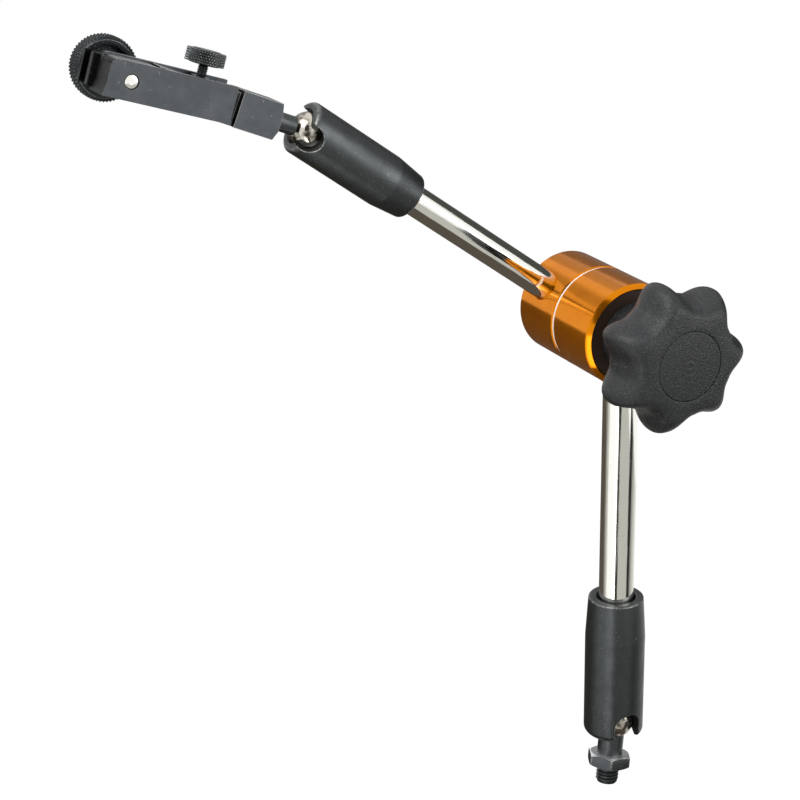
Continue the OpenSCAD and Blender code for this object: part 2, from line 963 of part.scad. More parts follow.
module clamp_bolt() {
    color("#d8d8d4")
        clamp_place()
            cross_round(clamp_bolt_d, clamp_face - clamp_knob_h + 0.5, bar_w / 2);
}

module stem_clamp() {
    mid = clamp_x - clamp_t / 2;
    color("#2b2c2e")
        clamp_place()
            difference() {
                union() {
                    translate([clamp_far, -clamp_h / 2, -stem_at])
                        cube([clamp_t, clamp_h, stem_at + clamp_end]);
                    translate([mid, 0, -stem_at])
                        rotate([90, 0, 0])
                            cylinder(d = clamp_t, h = clamp_h, center = true);
                }
                cross_round(clamp_bolt_d + 2 * run_gap, -3 * bar_w, bar_w);
                translate([mid, 0, -stem_at])
                    rotate([90, 0, 0])
                        cylinder(d = stem_d, h = 2 * clamp_h, center = true);
                translate([mid - slit_w / 2, -clamp_h, -stem_at])
                    cube([slit_w, 2 * clamp_h, 3 * clamp_end]);
                translate([mid, clamp_h, clamp_end])
                    rotate([90, 0, 0])
                        linear_extrude(2 * clamp_h)
                            polygon([
                                [-dove_w / 2 - dove_deep * tan(dove_angle) / 2, -dove_deep],
                                [dove_w / 2 + dove_deep * tan(dove_angle) / 2, -dove_deep],
                                [dove_w / 2 - dove_deep * tan(dove_angle) / 2, 1],
                                [-dove_w / 2 + dove_deep * tan(dove_angle) / 2, 1]
                            ]);
            }
}

module clamp_washer() {
    color("#8d8f92")
        clamp_place()
            difference() {
                cross_round(clamp_h - 0.4, clamp_far - clamp_washer_t, clamp_far);
                cross_round(clamp_bolt_d + 2 * run_gap, -3 * bar_w, bar_w);
            }
}

module clamp_knob() {
    color("#2b2c2e")
        clamp_place()
            translate([clamp_face, 0, 0])
                rotate([0, -90, 0])
                    rotate_extrude()
                        polygon([
                            [clamp_bolt_d / 2 + run_gap, 0],
                            [groove_in / 2, 0],
                            [groove_in / 2, groove_deep],
                            [groove_out / 2, groove_deep],
                            [groove_out / 2, 0],
                            [clamp_knob_d / 2 - knob_edge, 0],
                            [clamp_knob_d / 2, knob_edge],
                            [clamp_knob_d / 2, clamp_knob_h - 0.6],
                            [clamp_knob_d / 2 - 0.6, clamp_knob_h],
                            [clamp_bolt_d / 2 + run_gap, clamp_knob_h]
                        ]);
}

base_stud();
jam_nut();
lower_ball();
lower_seat_cup();
lower_socket();
lower_tube();
lower_push_rod();
near_housing();
friction_washer();
cone_sleeve();
thrust_washer();
star_knob();
knob_insert();
knob_cap();
far_housing();
draw_bolt();
end_plug();
upper_tube();
upper_push_rod();
upper_socket();
upper_seat_cup();
upper_ball();
upper_stud();
fine_block();
head_bar();
pivot_pin();
fine_screw();
return_spring();
clamp_bolt();
stem_clamp();
clamp_washer();
clamp_knob();
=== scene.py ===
"""Articulated gauge holding arm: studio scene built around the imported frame."""

import json
import math

import bmesh
import bpy
import numpy as np
from mathutils import Matrix, Vector

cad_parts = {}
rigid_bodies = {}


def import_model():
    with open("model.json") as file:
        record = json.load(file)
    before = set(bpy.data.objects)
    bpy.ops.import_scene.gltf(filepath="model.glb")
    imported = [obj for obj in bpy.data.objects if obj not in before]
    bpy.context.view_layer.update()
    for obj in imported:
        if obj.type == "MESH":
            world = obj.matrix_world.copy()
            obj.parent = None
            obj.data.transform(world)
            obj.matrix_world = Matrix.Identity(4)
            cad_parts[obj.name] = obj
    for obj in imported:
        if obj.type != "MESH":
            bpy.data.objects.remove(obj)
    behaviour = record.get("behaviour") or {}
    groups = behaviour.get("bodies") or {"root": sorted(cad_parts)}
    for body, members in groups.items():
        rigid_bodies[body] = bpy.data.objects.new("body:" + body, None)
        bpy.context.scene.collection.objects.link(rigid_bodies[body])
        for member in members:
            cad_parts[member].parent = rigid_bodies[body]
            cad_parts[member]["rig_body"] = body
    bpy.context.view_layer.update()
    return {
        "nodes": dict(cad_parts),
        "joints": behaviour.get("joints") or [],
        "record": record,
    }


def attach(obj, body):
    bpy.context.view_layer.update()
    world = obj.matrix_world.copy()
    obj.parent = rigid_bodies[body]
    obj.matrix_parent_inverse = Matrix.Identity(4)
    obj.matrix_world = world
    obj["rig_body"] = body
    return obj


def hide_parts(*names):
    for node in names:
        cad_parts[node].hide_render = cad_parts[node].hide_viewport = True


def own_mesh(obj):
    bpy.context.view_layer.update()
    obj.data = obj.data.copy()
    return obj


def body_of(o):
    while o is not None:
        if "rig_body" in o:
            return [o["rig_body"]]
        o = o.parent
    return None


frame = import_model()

MM = 0.001
TAU = 2.0 * math.pi
SEAM_GAP = 2e-7  # metres: points nearer than this are one point
NODES = frame["nodes"]
JOINTS = {j["name"]: j for j in frame["joints"]}
SLOT_OF = {s["node"]: s["material_slot"] for s in frame["record"]["subparts"]}


# ---------------------------------------------------------------- places

def unit(v):
    """The vector at length one."""
    v = np.asarray(v, float)
    return v / np.linalg.norm(v)


def joint_axis(name):
    """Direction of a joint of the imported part."""
    return unit(JOINTS[name]["axis"])


def joint_point(name):
    """A point on a joint's axis, in metres."""
    return np.array(JOINTS[name]["pos_m"], float)


class Place:
    """A local frame: the columns of axes are its x, y and z. Pieces are drawn in it in millimetres."""

    def __init__(self, origin, z, x):
        z = unit(z)
        x = np.asarray(x, float)
        x = unit(x - z * (z @ x))
        self.axes = np.stack([x, np.cross(z, x), z], axis=1)
        self.origin = np.asarray(origin, float)

    def world(self, points_mm):
        """Local millimetres to metres in the part's own frame."""
        return self.origin + (np.asarray(points_mm, float) * MM) @ self.axes.T

    def local(self, points_m):
        """Metres in the part's own frame to local millimetres."""
        return ((np.asarray(points_m, float) - self.origin) @ self.axes) / MM

    def moved(self, x=0.0, y=0.0, z=0.0):
        """The same frame with its origin shifted along its own axes, in millimetres."""
        return Place(self.world([x, y, z]), self.axes[:, 2], self.axes[:, 0])

    def facing(self, z, x):
        """The same origin with new z and x directions, given in this frame."""
        return Place(self.origin, self.axes @ np.asarray(z, float), self.axes @ np.asarray(x, float))


STUD = Place((0, 0, 0), (0, 0, 1), (1, 0, 0))
ELBOW = Place(joint_point("elbow_turn"), joint_axis("elbow_turn"), -joint_axis("lower_roll"))
LOWER = Place(joint_point("lower_roll"), joint_axis("lower_roll"), joint_axis("elbow_turn"))
UPPER = Place(joint_point("upper_roll"), -joint_axis("upper_roll"), -joint_axis("elbow_turn"))
HEAD = Place(joint_point("upper_swivel"), joint_axis("upper_swivel"), joint_axis("fine_tilt"))
BAR = Place(
    joint_point("fine_tilt"),
    np.cross(joint_axis("stem_swivel"), -joint_axis("fine_screw_turn")),
    joint_axis("stem_swivel"),
)
CLAMP = Place(joint_point("stem_swivel"), BAR.axes[:, 2], BAR.axes[:, 0])


def node_points(node, place):
    """Corners of a CAD node's mesh in a local frame, in millimetres."""
    mesh = NODES[node].data
    co = np.empty(len(mesh.vertices) * 3, np.float32)
    mesh.vertices.foreach_get("co", co)
    matrix = np.array(NODES[node].matrix_world)
    return place.local(co.reshape(-1, 3) @ matrix[:3, :3].T + matrix[:3, 3])


def reach(node, place):
    """Largest radius round the frame's z axis, lowest z and highest z of a CAD node."""
    points = node_points(node, place)
    return np.hypot(points[:, 0], points[:, 1]).max(), points[:, 2].min(), points[:, 2].max()


# ---------------------------------------------------------------- surfaces

def quads(rows, cols, wrap):
    """Faces over a grid of rows by cols points. Wrap joins the last column to the first."""
    i = np.arange(rows - 1)[:, None] * cols
    j = np.arange(cols if wrap else cols - 1)[None, :]
    k = (j + 1) % cols
    return np.stack([i + j, i + k, i + cols + k, i + cols + j], axis=-1).reshape(-1, 4)


def piece(nodes, place, look, *patches, crease=32.0, weld=SEAM_GAP):
    """One closed mesh from patches of points in a local frame. It stands for the named nodes.
    A patch is (grid of points, wrap) or (grid, wrap, wear), with wear from 0 to 1 at each point."""
    points, faces, wear, start = [], [], [], 0
    for patch in patches:
        grid, wrap, worn = (*patch, 0.0)[:3]
        rows, cols = grid.shape[:2]
        faces.append(quads(rows, cols, wrap) + start)
        points.append(grid.reshape(-1, 3))
        wear.append(np.broadcast_to(worn, (rows, cols)).reshape(-1))
        start += rows * cols
    points, faces, wear = np.concatenate(points), np.concatenate(faces), np.concatenate(wear)
    mesh = bpy.data.meshes.new(nodes[0] + "_shape")
    mesh.vertices.add(len(points))
    mesh.vertices.foreach_set("co", place.world(points).astype(np.float32).ravel())
    mesh.loops.add(faces.size)
    mesh.loops.foreach_set("vertex_index", faces.astype(np.int32).ravel())
    mesh.polygons.add(len(faces))
    mesh.polygons.foreach_set("loop_start", np.arange(0, faces.size, 4, dtype=np.int32))
    local = mesh.attributes.new("local_mm", "FLOAT_VECTOR", "POINT")
    local.data.foreach_set("vector", points.astype(np.float32).ravel())
    mesh.attributes.new("wear", "FLOAT", "POINT").data.foreach_set("value", wear.astype(np.float32))
    mesh.update(calc_edges=True)
    mesh.validate()
    join_seams(mesh, weld)
    mesh.shade_smooth()
    mesh.set_sharp_from_angle(angle=math.radians(crease))
    return place_piece(mesh, nodes, look)


def join_seams(mesh, gap, flat=None):
    """Merges points that coincide, as at seams and poles, and turns every face outward.
    With flat, faces that lie within that angle of one plane become one face."""
    cage = bmesh.new()
    cage.from_mesh(mesh)
    bmesh.ops.remove_doubles(cage, verts=cage.verts, dist=gap)
    if flat is not None:
        bmesh.ops.dissolve_limit(cage, angle_limit=flat, verts=cage.verts, edges=cage.edges)
    bmesh.ops.recalc_face_normals(cage, faces=cage.faces)
    cage.to_mesh(mesh)
    cage.free()


def place_piece(mesh, nodes, look):
    """Shows a mesh in place of CAD nodes, riding on their body, with a finish."""
    mesh.materials.append(look)
    shown = bpy.data.objects.new(nodes[0] + "_shape", mesh)
    bpy.context.scene.collection.objects.link(shown)
    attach(shown, body_of(NODES[nodes[0]])[0])
    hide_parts(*nodes)
    return shown


def machined(node, place, look, edge, edge_look=None):
    """A copy of a CAD node with its flat faces made whole and its sharp edges broken by a bevel
    of the given width, which may have a finish of its own."""
    crease = math.radians(35.0)
    mesh = NODES[node].data.copy()
    mesh.materials.clear()
    join_seams(mesh, SEAM_GAP, math.radians(0.5))
    points = np.empty(len(mesh.vertices) * 3, np.float32)
    mesh.vertices.foreach_get("co", points)
    matrix = np.array(NODES[node].matrix_world)
    points = points.reshape(-1, 3) @ matrix[:3, :3].T + matrix[:3, 3]
    mesh.vertices.foreach_set("co", points.astype(np.float32).ravel())
    local = place.local(points).astype(np.float32)
    mesh.attributes.new("local_mm", "FLOAT_VECTOR", "POINT").data.foreach_set("vector", local.ravel())
    mesh.attributes.new("wear", "FLOAT", "POINT")
    mesh.shade_smooth()
    mesh.set_sharp_from_angle(angle=crease)
    shown = place_piece(mesh, [node], look)
    bevel = shown.modifiers.new("broken_edges", "BEVEL")
    bevel.width = edge * MM
    bevel.segments = 2
    bevel.limit_method = "ANGLE"
    bevel.angle_limit = crease
    bevel.harden_normals = True
    if edge_look is not None:
        mesh.materials.append(edge_look)
        bevel.material = 1
    return shown


def rounded(corners, steps=5):
    """A profile of (r, z, ease) corners with each corner eased over that radius: the curve runs
    from the tangent point before the corner to the one after it, and the corner pulls its middle.
    Returns the points and their wear, which is 1 in the middle of an eased corner."""
    corners = np.asarray(corners, float)
    at, ease = corners[:, :2], corners[:, 2]
    back, ahead = np.roll(at, 1, axis=0) - at, np.roll(at, -1, axis=0) - at
    back_len, ahead_len = np.linalg.norm(back, axis=1), np.linalg.norm(ahead, axis=1)
    back, ahead = back / back_len[:, None], ahead / ahead_len[:, None]
    half = np.arccos(np.clip((back * ahead).sum(axis=1), -1, 1)) / 2
    reach_back = np.where(ease > 0, ease / np.maximum(np.tan(half), 1e-3), 0)
    reach_back = np.minimum(reach_back, 0.499 * np.minimum(back_len, ahead_len))
    s = np.linspace(0, 1, steps)[None, :, None]
    first = (at + back * reach_back[:, None])[:, None]
    last = (at + ahead * reach_back[:, None])[:, None]
    curve = (1 - s) ** 2 * first + 2 * s * (1 - s) * at[:, None] + s ** 2 * last
    wear = 4 * s[..., 0] * (1 - s[..., 0]) * (ease > 0)[:, None]
    keep = (ease > 0)[:, None] | (np.arange(steps) == 0)[None, :]
    return curve[keep], wear[keep]


def around(count):
    """Angles of one whole turn, without the last."""
    return np.arange(count) * TAU / count


def turned(profile, angles, wear=None):
    """A profile (r, z) carried round the z axis: the point at angle a is (r cos a, r sin a, z)."""
    r, z = profile[:, 0][:, None], profile[:, 1][:, None]
    a = np.asarray(angles)[None, :]
    grid = np.stack([r * np.cos(a), r * np.sin(a), z + 0 * a], axis=-1)
    if wear is None:
        return grid, True
    return grid, True, np.repeat(wear[:, None], len(a[0]), axis=1)


def solid_of_turning(nodes, place, look, corners, count=128, closed=False):
    """A turned piece: eased profile corners carried round z. Closed joins the profile's ends in a ring."""
    profile, wear = rounded(corners)
    if closed:
        profile, wear = np.vstack([profile, profile[:1]]), np.append(wear, wear[0])
    return piece(nodes, place, look, turned(profile, around(count), wear))


def ball_profile(radius, z_from, z_to, steps):
    """A ball's outline from one height to another: r is the square root of radius^2 - z^2."""
    low, high = math.asin(z_from / radius), math.asin(z_to / radius)
    a = np.linspace(low, high, steps)
    return np.stack([radius * np.cos(a), radius * np.sin(a)], axis=1)


def thread(radius, depth, pitch, low, high, cols, per_turn=14, lead=0.9):
    """A right-hand screw thread between two heights. Rows follow the helix z = z0 + pitch a / 360 deg.
    The radius falls from crest to root and back over one pitch, with flats of 0.22 pitch at the
    crest and 0.16 pitch at the root, and both ends run into a chamfer down to the root."""
    turns = int(math.ceil((high - low) / pitch)) + 1
    k = np.arange(turns * per_turn + 1)[:, None] / per_turn
    a = np.linspace(0, TAU, cols + 1)[None, :]
    z = low + pitch * (k - 1 + a / TAU)
    slope = np.clip((np.abs(2 * (k % 1.0) - 1.0) - 0.22) / 0.62, 0, 1)
    r = radius - depth * slope
    z = np.clip(z, low, high)
    end = np.minimum(z - low, high - z)
    r = np.minimum(r, radius - depth + end * depth / (lead * pitch))
    return np.stack([r * np.cos(a), r * np.sin(a), z], axis=-1), False


def knurl(radius, depth, low, high, grooves, cols, rows, slant=30.0):
    """A diamond knurl between two heights: r = radius - depth (1.25 max(u, v) - 0.25), and radius
    where that is more. u and v say how near the closest groove of each slanting family is: 1 on the
    groove and 0 midway."""
    a = np.arange(cols)[None, :] * TAU / cols
    z = np.linspace(low, high, rows)[:, None]
    wind = grooves * math.tan(math.radians(slant)) / (TAU * radius)
    u = np.abs(2 * ((grooves * a / TAU + wind * z) % 1.0) - 1)
    v = np.abs(2 * ((grooves * a / TAU - wind * z) % 1.0) - 1)
    r = radius - depth * np.clip(1.25 * np.maximum(u, v) - 0.25, 0, 1)
    crest = np.clip(1 - 2.2 * np.maximum(u, v), 0, 1)
    return np.stack([r * np.cos(a), r * np.sin(a), z + 0 * a], axis=-1), True, crest


# ---------------------------------------------------------------- materials

MULTIPLIED = {"operation": "MULTIPLY", "use_clamp": True}
LARGER = {"operation": "MAXIMUM", "use_clamp": True}
COLOURS = {"data_type": "RGBA"}
MIXED_COLOUR = 2  # the mix node's output for colours


def linear(hex_colour):
    """An sRGB hex colour as linear RGBA."""
    value = np.array([int(hex_colour[i:i + 2], 16) for i in (1, 3, 5)]) / 255.0
    low = value / 12.92
    high = ((value + 0.055) / 1.055) ** 2.4
    return (*np.where(value <= 0.04045, low, high).tolist(), 1.0)


def shade(hex_colour, factor):
    """A hex colour with each of its three values multiplied."""
    values = [min(255, round(int(hex_colour[i:i + 2], 16) * factor)) for i in (1, 3, 5)]
    return "#" + "".join("%02x" % value for value in values)


def add(tree, kind, settings=None, **links):
    """Adds a node. Settings are its properties. Links are its inputs, by name or by number as in _0:
    a plain value, another node's output, or a node, which stands for its first output."""
    node = tree.nodes.new("ShaderNode" + kind)
    for key, value in (settings or {}).items():
        setattr(node, key, value)
    for key, value in links.items():
        socket = node.inputs[int(key[1:])] if key[0] == "_" else node.inputs[key.replace("_", " ")]
        if isinstance(value, bpy.types.Node):
            value = value.outputs[0]
        if isinstance(value, bpy.types.NodeSocket):
            tree.links.new(value, socket)
        else:
            socket.default_value = value
    return node


def material(name):
    """A new material with an empty node tree."""
    made = bpy.data.materials.new(name)
    made.use_nodes = True
    made.node_tree.nodes.clear()
    return made, made.node_tree


def surfaced(made, tree, **sockets):
    """The material with its shader added: the last step of every material of the object."""
    add(tree, "OutputMaterial", None, Surface=add(tree, "BsdfPrincipled", None, **sockets))
    return made


def plain(name, colour, rough, metallic=0.0):
    """A plain surface of one colour."""
    return surfaced(*material(name), Base_Color=linear(colour), Roughness=rough, Metallic=metallic)


def stretched(tree, scale=(1, 1, 1)):
    """The piece's own millimetres, multiplied axis by axis."""
    where = add(tree, "Attribute", {"attribute_name": "local_mm"})
    return add(tree, "Mapping", None, Vector=where.outputs["Vector"], Scale=scale)


def speckle(tree, where, scale, low, high, detail=2.0):
    """Noise of one spot per 1/scale mm, made a mask: 0 below low and 1 above high."""
    spots = add(tree, "TexNoise", None, Vector=where, Scale=scale, Detail=detail)
    return add(tree, "MapRange", None, _0=spots, _1=low, _2=high)


def black_oxide(name, tone, rough, scratch, grain_depth):
    """Steel blackened in a hot oxide bath: the film keeps about a tenth of the light and the satin
    of the ground steel below. A fine grain glitters in each highlight. Handling rubs the edges and
    a few high spots grey, and leaves short scratches."""
    made, tree = material(name)
    whole = stretched(tree)
    cloud = speckle(tree, whole, 0.22, 0.3, 0.75)
    # Scratches: short streaks, in some areas only.
    streaks = speckle(tree, stretched(tree, (1.3, 0.3, 0.45)), 2.0, 0.7, 0.74, 1.0)
    handled = speckle(tree, whole, 0.16, 0.5, 0.6)
    scratched = add(tree, "Math", MULTIPLIED, _0=streaks, _1=handled)
    scratched = add(tree, "Math", MULTIPLIED, _0=scratched, _1=scratch)
    # Flecks: spots about 0.35 mm across, in clusters.
    flecks = speckle(tree, whole, 2.8, 0.65, 0.72)
    clusters = speckle(tree, whole, 0.24, 0.48, 0.6)
    flecks = add(tree, "Math", MULTIPLIED, _0=flecks, _1=clusters)
    marks = add(tree, "Math", LARGER, _0=flecks, _1=scratched)
    marks = add(tree, "Math", MULTIPLIED, _0=marks, _1=0.5)
    # Rubbed edges, broken up.
    edge = add(tree, "Attribute", {"attribute_name": "wear"}).outputs["Fac"]
    rubbed = add(tree, "Math", MULTIPLIED, _0=edge, _1=speckle(tree, whole, 1.1, 0.3, 0.6))
    worn = add(tree, "Math", LARGER, _0=marks, _1=rubbed)
    film = add(tree, "Mix", COLOURS, _0=cloud, _6=linear(tone), _7=linear(shade(tone, 1.12)))
    film = film.outputs[MIXED_COLOUR]
    colour = add(tree, "Mix", COLOURS, _0=worn, _6=film, _7=linear("#a2a29f"))
    gloss = add(tree, "MapRange", None, _0=cloud, _1=0.0, _2=1.0, _3=rough + 0.04, _4=rough - 0.04)
    grain = add(tree, "TexNoise", None, Vector=whole, Scale=2.7, Detail=2.0)
    relief = add(tree, "Bump", None, Strength=grain_depth, Distance=0.0003, Height=grain)
    return surfaced(
        made, tree, Base_Color=colour.outputs[MIXED_COLOUR], Roughness=gloss, Metallic=0.92, Normal=relief,
    )


def ground_chrome(name, colour, rough):
    """Steel tube, centreless ground and bright plated: a mirror with faint lengthways drawing marks
    and a few dull handling specks."""
    made, tree = material(name)
    whole = stretched(tree)
    drawn = add(tree, "TexNoise", None, Vector=stretched(tree, (3.0, 3.0, 0.05)), Scale=1.0, Detail=2.0)
    specks = speckle(tree, whole, 1.6, 0.68, 0.74)
    handled = speckle(tree, whole, 0.12, 0.5, 0.62)
    marked = add(tree, "Math", MULTIPLIED, _0=specks, _1=handled)
    gloss = add(tree, "MapRange", None, _0=marked, _1=0.0, _2=1.0, _3=rough, _4=0.35)
    relief = add(tree, "Bump", None, Strength=0.12, Distance=0.0002, Height=drawn)
    tone = add(tree, "Mix", COLOURS, _0=marked, _6=linear(colour), _7=linear("#8d8a84"))
    return surfaced(
        made, tree, Base_Color=tone.outputs[MIXED_COLOUR], Roughness=gloss, Metallic=1.0, Normal=relief,
    )


def orange_anodised(name):
    """Aluminium turned on a lathe, then dyed and anodised orange: metallic, with fine rings
    from the tool that stretch each highlight along the axis."""
    made, tree = material(name)
    along = stretched(tree, (0.012, 0.012, 3.4))
    rings = add(tree, "TexNoise", None, Vector=along, Scale=1.0, Detail=3.0)
    cloud = speckle(tree, stretched(tree), 0.16, 0.3, 0.75)
    tone = add(tree, "Mix", COLOURS, _0=cloud, _6=linear("#e08400"), _7=linear("#d67a00"))
    relief = add(tree, "Bump", None, Strength=0.06, Distance=0.0002, Height=rings)
    gloss = add(tree, "MapRange", None, _0=rings, _1=0.3, _2=0.7, _3=0.1, _4=0.17)
    return surfaced(
        made, tree, Base_Color=tone.outputs[MIXED_COLOUR], Roughness=gloss, Metallic=0.86, Normal=relief,
    )


def moulded_nylon(name, colour):
    """Glass-filled nylon from a spark-eroded mould: dark grey, with an even fine grain and a soft sheen.
    The grain, about 0.1 mm across on the real thing, is drawn at 0.5 mm so that it shows."""
    made, tree = material(name)
    whole = stretched(tree)
    grain = add(tree, "TexNoise", None, Vector=whole, Scale=1.9, Detail=2.0)
    flecks = speckle(tree, whole, 2.4, 0.6, 0.74, 1.0)
    faint = add(tree, "Math", MULTIPLIED, _0=flecks, _1=0.5)
    relief = add(tree, "Bump", None, Strength=0.8, Distance=0.0003, Height=grain)
    tone = add(tree, "Mix", COLOURS, _0=faint, _6=linear(colour), _7=linear("#6a6c6e"))
    return surfaced(made, tree, Base_Color=tone.outputs[MIXED_COLOUR], Roughness=0.44, Normal=relief)


def turned_metal(name, colour, rough):
    """Bare metal turned on a lathe: bright, with fine rings."""
    made, tree = material(name)
    rings = add(tree, "TexNoise", None, Vector=stretched(tree, (0.02, 0.02, 4.0)), Scale=1.0, Detail=2.0)
    relief = add(tree, "Bump", None, Strength=0.2, Distance=0.0002, Height=rings)
    return surfaced(made, tree, Base_Color=linear(colour), Roughness=rough, Metallic=1.0, Normal=relief)


def ball_with_painted_reflections(name, bright, dull):
    """Polished ball mottled in random patches between bright steel and dark brown: the dark patches are
    painted reflections of the dark socket round it.
    """
    made, tree = material(name)
    patch = speckle(tree, stretched(tree), 0.3, 0.42, 0.62, 3.0)
    tone = add(tree, "Mix", COLOURS, _0=patch, _6=linear(bright), _7=linear(dull))
    gloss = add(tree, "MapRange", None, _0=patch, _1=0.0, _2=1.0, _3=0.1, _4=0.3)
    return surfaced(made, tree, Base_Color=tone.outputs[MIXED_COLOUR], Roughness=gloss, Metallic=1.0)


OXIDE = black_oxide("black_oxide_steel", "#474a4b", 0.34, 0.9, 0.24)
OXIDE_NUT = black_oxide("black_oxide_nut", "#515456", 0.3, 1.0, 0.2)
OXIDE_FLAT = black_oxide("black_oxide_milled_steel", "#525558", 0.38, 1.0, 0.08)
# A near-black copy of the oxide finish: painted shade on faces that sit in shadow or reflect dark.
OXIDE_PAINTED_SHADE = black_oxide("black_oxide_painted_shade", "#151617", 0.5, 0.4, 0.15)
OXIDE_KNURL = black_oxide("black_oxide_knurled", "#2b2e30", 0.36, 0.8, 0.2)
# A sharp edge rubbed through the black film: the ground steel shows as satin grey.
OXIDE_EDGE = plain("rubbed_oxide_edge", "#a0a09e", 0.35, 0.9)
# The nut's end faces get a bright steel copy of the finish: a painted highlight for the white its top face
# reflects.
NUT_ENDS_PAINTED_BRIGHT = plain("nut_ends_painted_highlight", "#e4e6e8", 0.35, 0.9)
CHROME = ground_chrome("bright_plated_steel", "#f6f5ee", 0.06)
# The balls' dark patches are painted reflections of their sockets.
BALL = ball_with_painted_reflections("polished_bearing_steel", "#d2ccc0", "#3c362e")
STEEL = turned_metal("turned_steel", "#b9babb", 0.25)
ORANGE = orange_anodised("orange_anodised_aluminium")
# Polyamide sheet, punched: an even, slightly warm white with a soft sheen.
NYLON_WHITE = plain("white_nylon", "#f0e4dc", 0.45)
NYLON_BLACK = moulded_nylon("black_glass_filled_nylon", "#131517")
# Vulcanised fibre, punched from sheet: a matt dark brown.
FIBRE = plain("brown_vulcanised_fibre", "#2a1608", 0.55)
BRASS = turned_metal("turned_brass", "#b08d4a", 0.3)

LOOKS = {
    "black_oxide_steel": OXIDE,
    "ground_steel_tube": CHROME,
    "polished_ball": BALL,
    "plain_steel": STEEL,
    "orange_anodised": ORANGE,
    "brown_fibre": FIBRE,
    "white_washer": NYLON_WHITE,
    "black_knob_plastic": NYLON_BLACK,
    "brass_insert": BRASS,
}
for name, shown in NODES.items():
    shown.data.materials.clear()
    shown.data.materials.append(LOOKS[SLOT_OF[name]])


# ---------------------------------------------------------------- mounting stud and nut

NUT_H = reach("jam_nut", STUD)[2]
THREAD_R, STUD_END = 4.0, reach("base_stud", STUD)[1]
SHANK_R, STUD_TOP = reach("base_stud", STUD)[0], reach("base_stud", STUD)[2]
THREAD_DEPTH = 0.72
THREAD_PITCH = 1.25
THREAD_TOP = 0.8  # the thread runs out inside the nut
LOWER_BALL_R = 7.25
SPIGOT_R = 2.5


def build_stud():
    """Threaded stud with a plain shank: a screw thread below, turned steps above."""
    root = THREAD_R - THREAD_DEPTH
    ball_centre = LOWER.origin[2] / MM
    shank_top = ball_centre - math.sqrt(LOWER_BALL_R ** 2 - SHANK_R ** 2)
    winding, _ = thread(THREAD_R, THREAD_DEPTH, THREAD_PITCH, STUD_END, THREAD_TOP, 96)
    above, _ = rounded([
        (root, THREAD_TOP, 0), (root, NUT_H, 0), (SHANK_R, NUT_H, 0), (SHANK_R, shank_top, 0),
        (SPIGOT_R, shank_top, 0), (SPIGOT_R, STUD_TOP, 0), (0, STUD_TOP, 0),
    ])
    below = np.array([(0, STUD_END), (root, STUD_END)])
    return piece(
        ["base_stud"], STUD, OXIDE, (winding, False), turned(above, around(96)), turned(below, around(96)),
        crease=40,
    )


def build_nut(across_flats=14.0, bore=3.65, chamfer=math.tan(math.radians(28))):
    """Hexagon nut. At angle a its side stands at half the flats over cos of the angle from the
    nearest flat's middle. Cones at both ends cut the corners back to a circle."""
    a = around(192) + NUT_AZ
    flat = across_flats / 2 / np.cos((a - NUT_AZ) % (TAU / 6) - TAU / 12)
    corner = across_flats / 2 / math.cos(TAU / 12)
    circle = across_flats / 2 - 0.3
    drop = (flat - circle) * chamfer
    mouth = bore + 0.6
    one = np.ones_like(a)
    rings = [
        (bore * one, 0.6 * one), (mouth * one, 0 * one), (circle * one, 0 * one),
        (flat - 0.02, drop - 0.02), (flat, drop + 0.06),
        (flat, NUT_H - drop - 0.06), (flat - 0.02, NUT_H - drop + 0.02),
        (circle * one, NUT_H * one), (mouth * one, NUT_H * one), (bore * one, (NUT_H - 0.6) * one),
    ]
    rings.append(rings[0])
    grid = np.stack([np.stack([r * np.cos(a), r * np.sin(a), z], axis=-1) for r, z in rings])
    near_corner = flat > corner - 0.25
    wear = np.array([0, 0, 0.4, 0.8, 0.8, 0.8, 0.8, 0.4, 0, 0, 0])[:, None] * near_corner
    return piece(["jam_nut"], STUD, OXIDE_NUT, (grid, True, wear), crease=20)


def look_across(shown, axis, look):
    """Gives another look to the faces across an axis: those that point along it or back along it,
    to within 60 degrees."""
    mesh = shown.data
    mesh.materials.append(look)
    normal = np.empty(len(mesh.polygons) * 3, np.float32)
    mesh.polygons.foreach_get("normal", normal)
    across = np.abs(normal.reshape(-1, 3) @ axis) > 0.5
    slots = np.where(across, len(mesh.materials) - 1, 0)
    mesh.polygons.foreach_set("material_index", slots.astype(np.int32))


NUT_POINTS = node_points("jam_nut", STUD)
NUT_CORNER = NUT_POINTS[np.argmax(np.hypot(NUT_POINTS[:, 0], NUT_POINTS[:, 1]))]
NUT_AZ = math.atan2(NUT_CORNER[1], NUT_CORNER[0])
build_stud()
# The nut's end faces take the bright copy: painted highlight.
look_across(build_nut(), STUD.axes[:, 2], NUT_ENDS_PAINTED_BRIGHT)


# ---------------------------------------------------------------- ball joints

def build_ball(node, place, neck_r, spigot_r):
    """Polished ball, with a flat where its shank meets it and a bore for the shank's spigot."""
    radius = reach(node, place)[0] - 0.01
    flat = -math.sqrt(radius ** 2 - neck_r ** 2)
    sphere = ball_profile(radius, flat, radius, 48)
    bore_end = radius - 2.0
    inside = np.array([(0, bore_end), (spigot_r, bore_end), (spigot_r, flat)])
    return piece([node], place, BALL, turned(np.vstack([inside, sphere]), around(96)))


build_ball("lower_ball", STUD.moved(z=LOWER.origin[2] / MM), SHANK_R, 2.55)
build_ball("upper_ball", HEAD.facing((0, 0, -1), (1, 0, 0)), 3.0, 1.8)


def turned_by(angle):
    """The matrix that turns rows of points round z."""
    c, s = math.cos(angle), math.sin(angle)
    return np.array([[c, s, 0], [-s, c, 0], [0, 0, 1]])


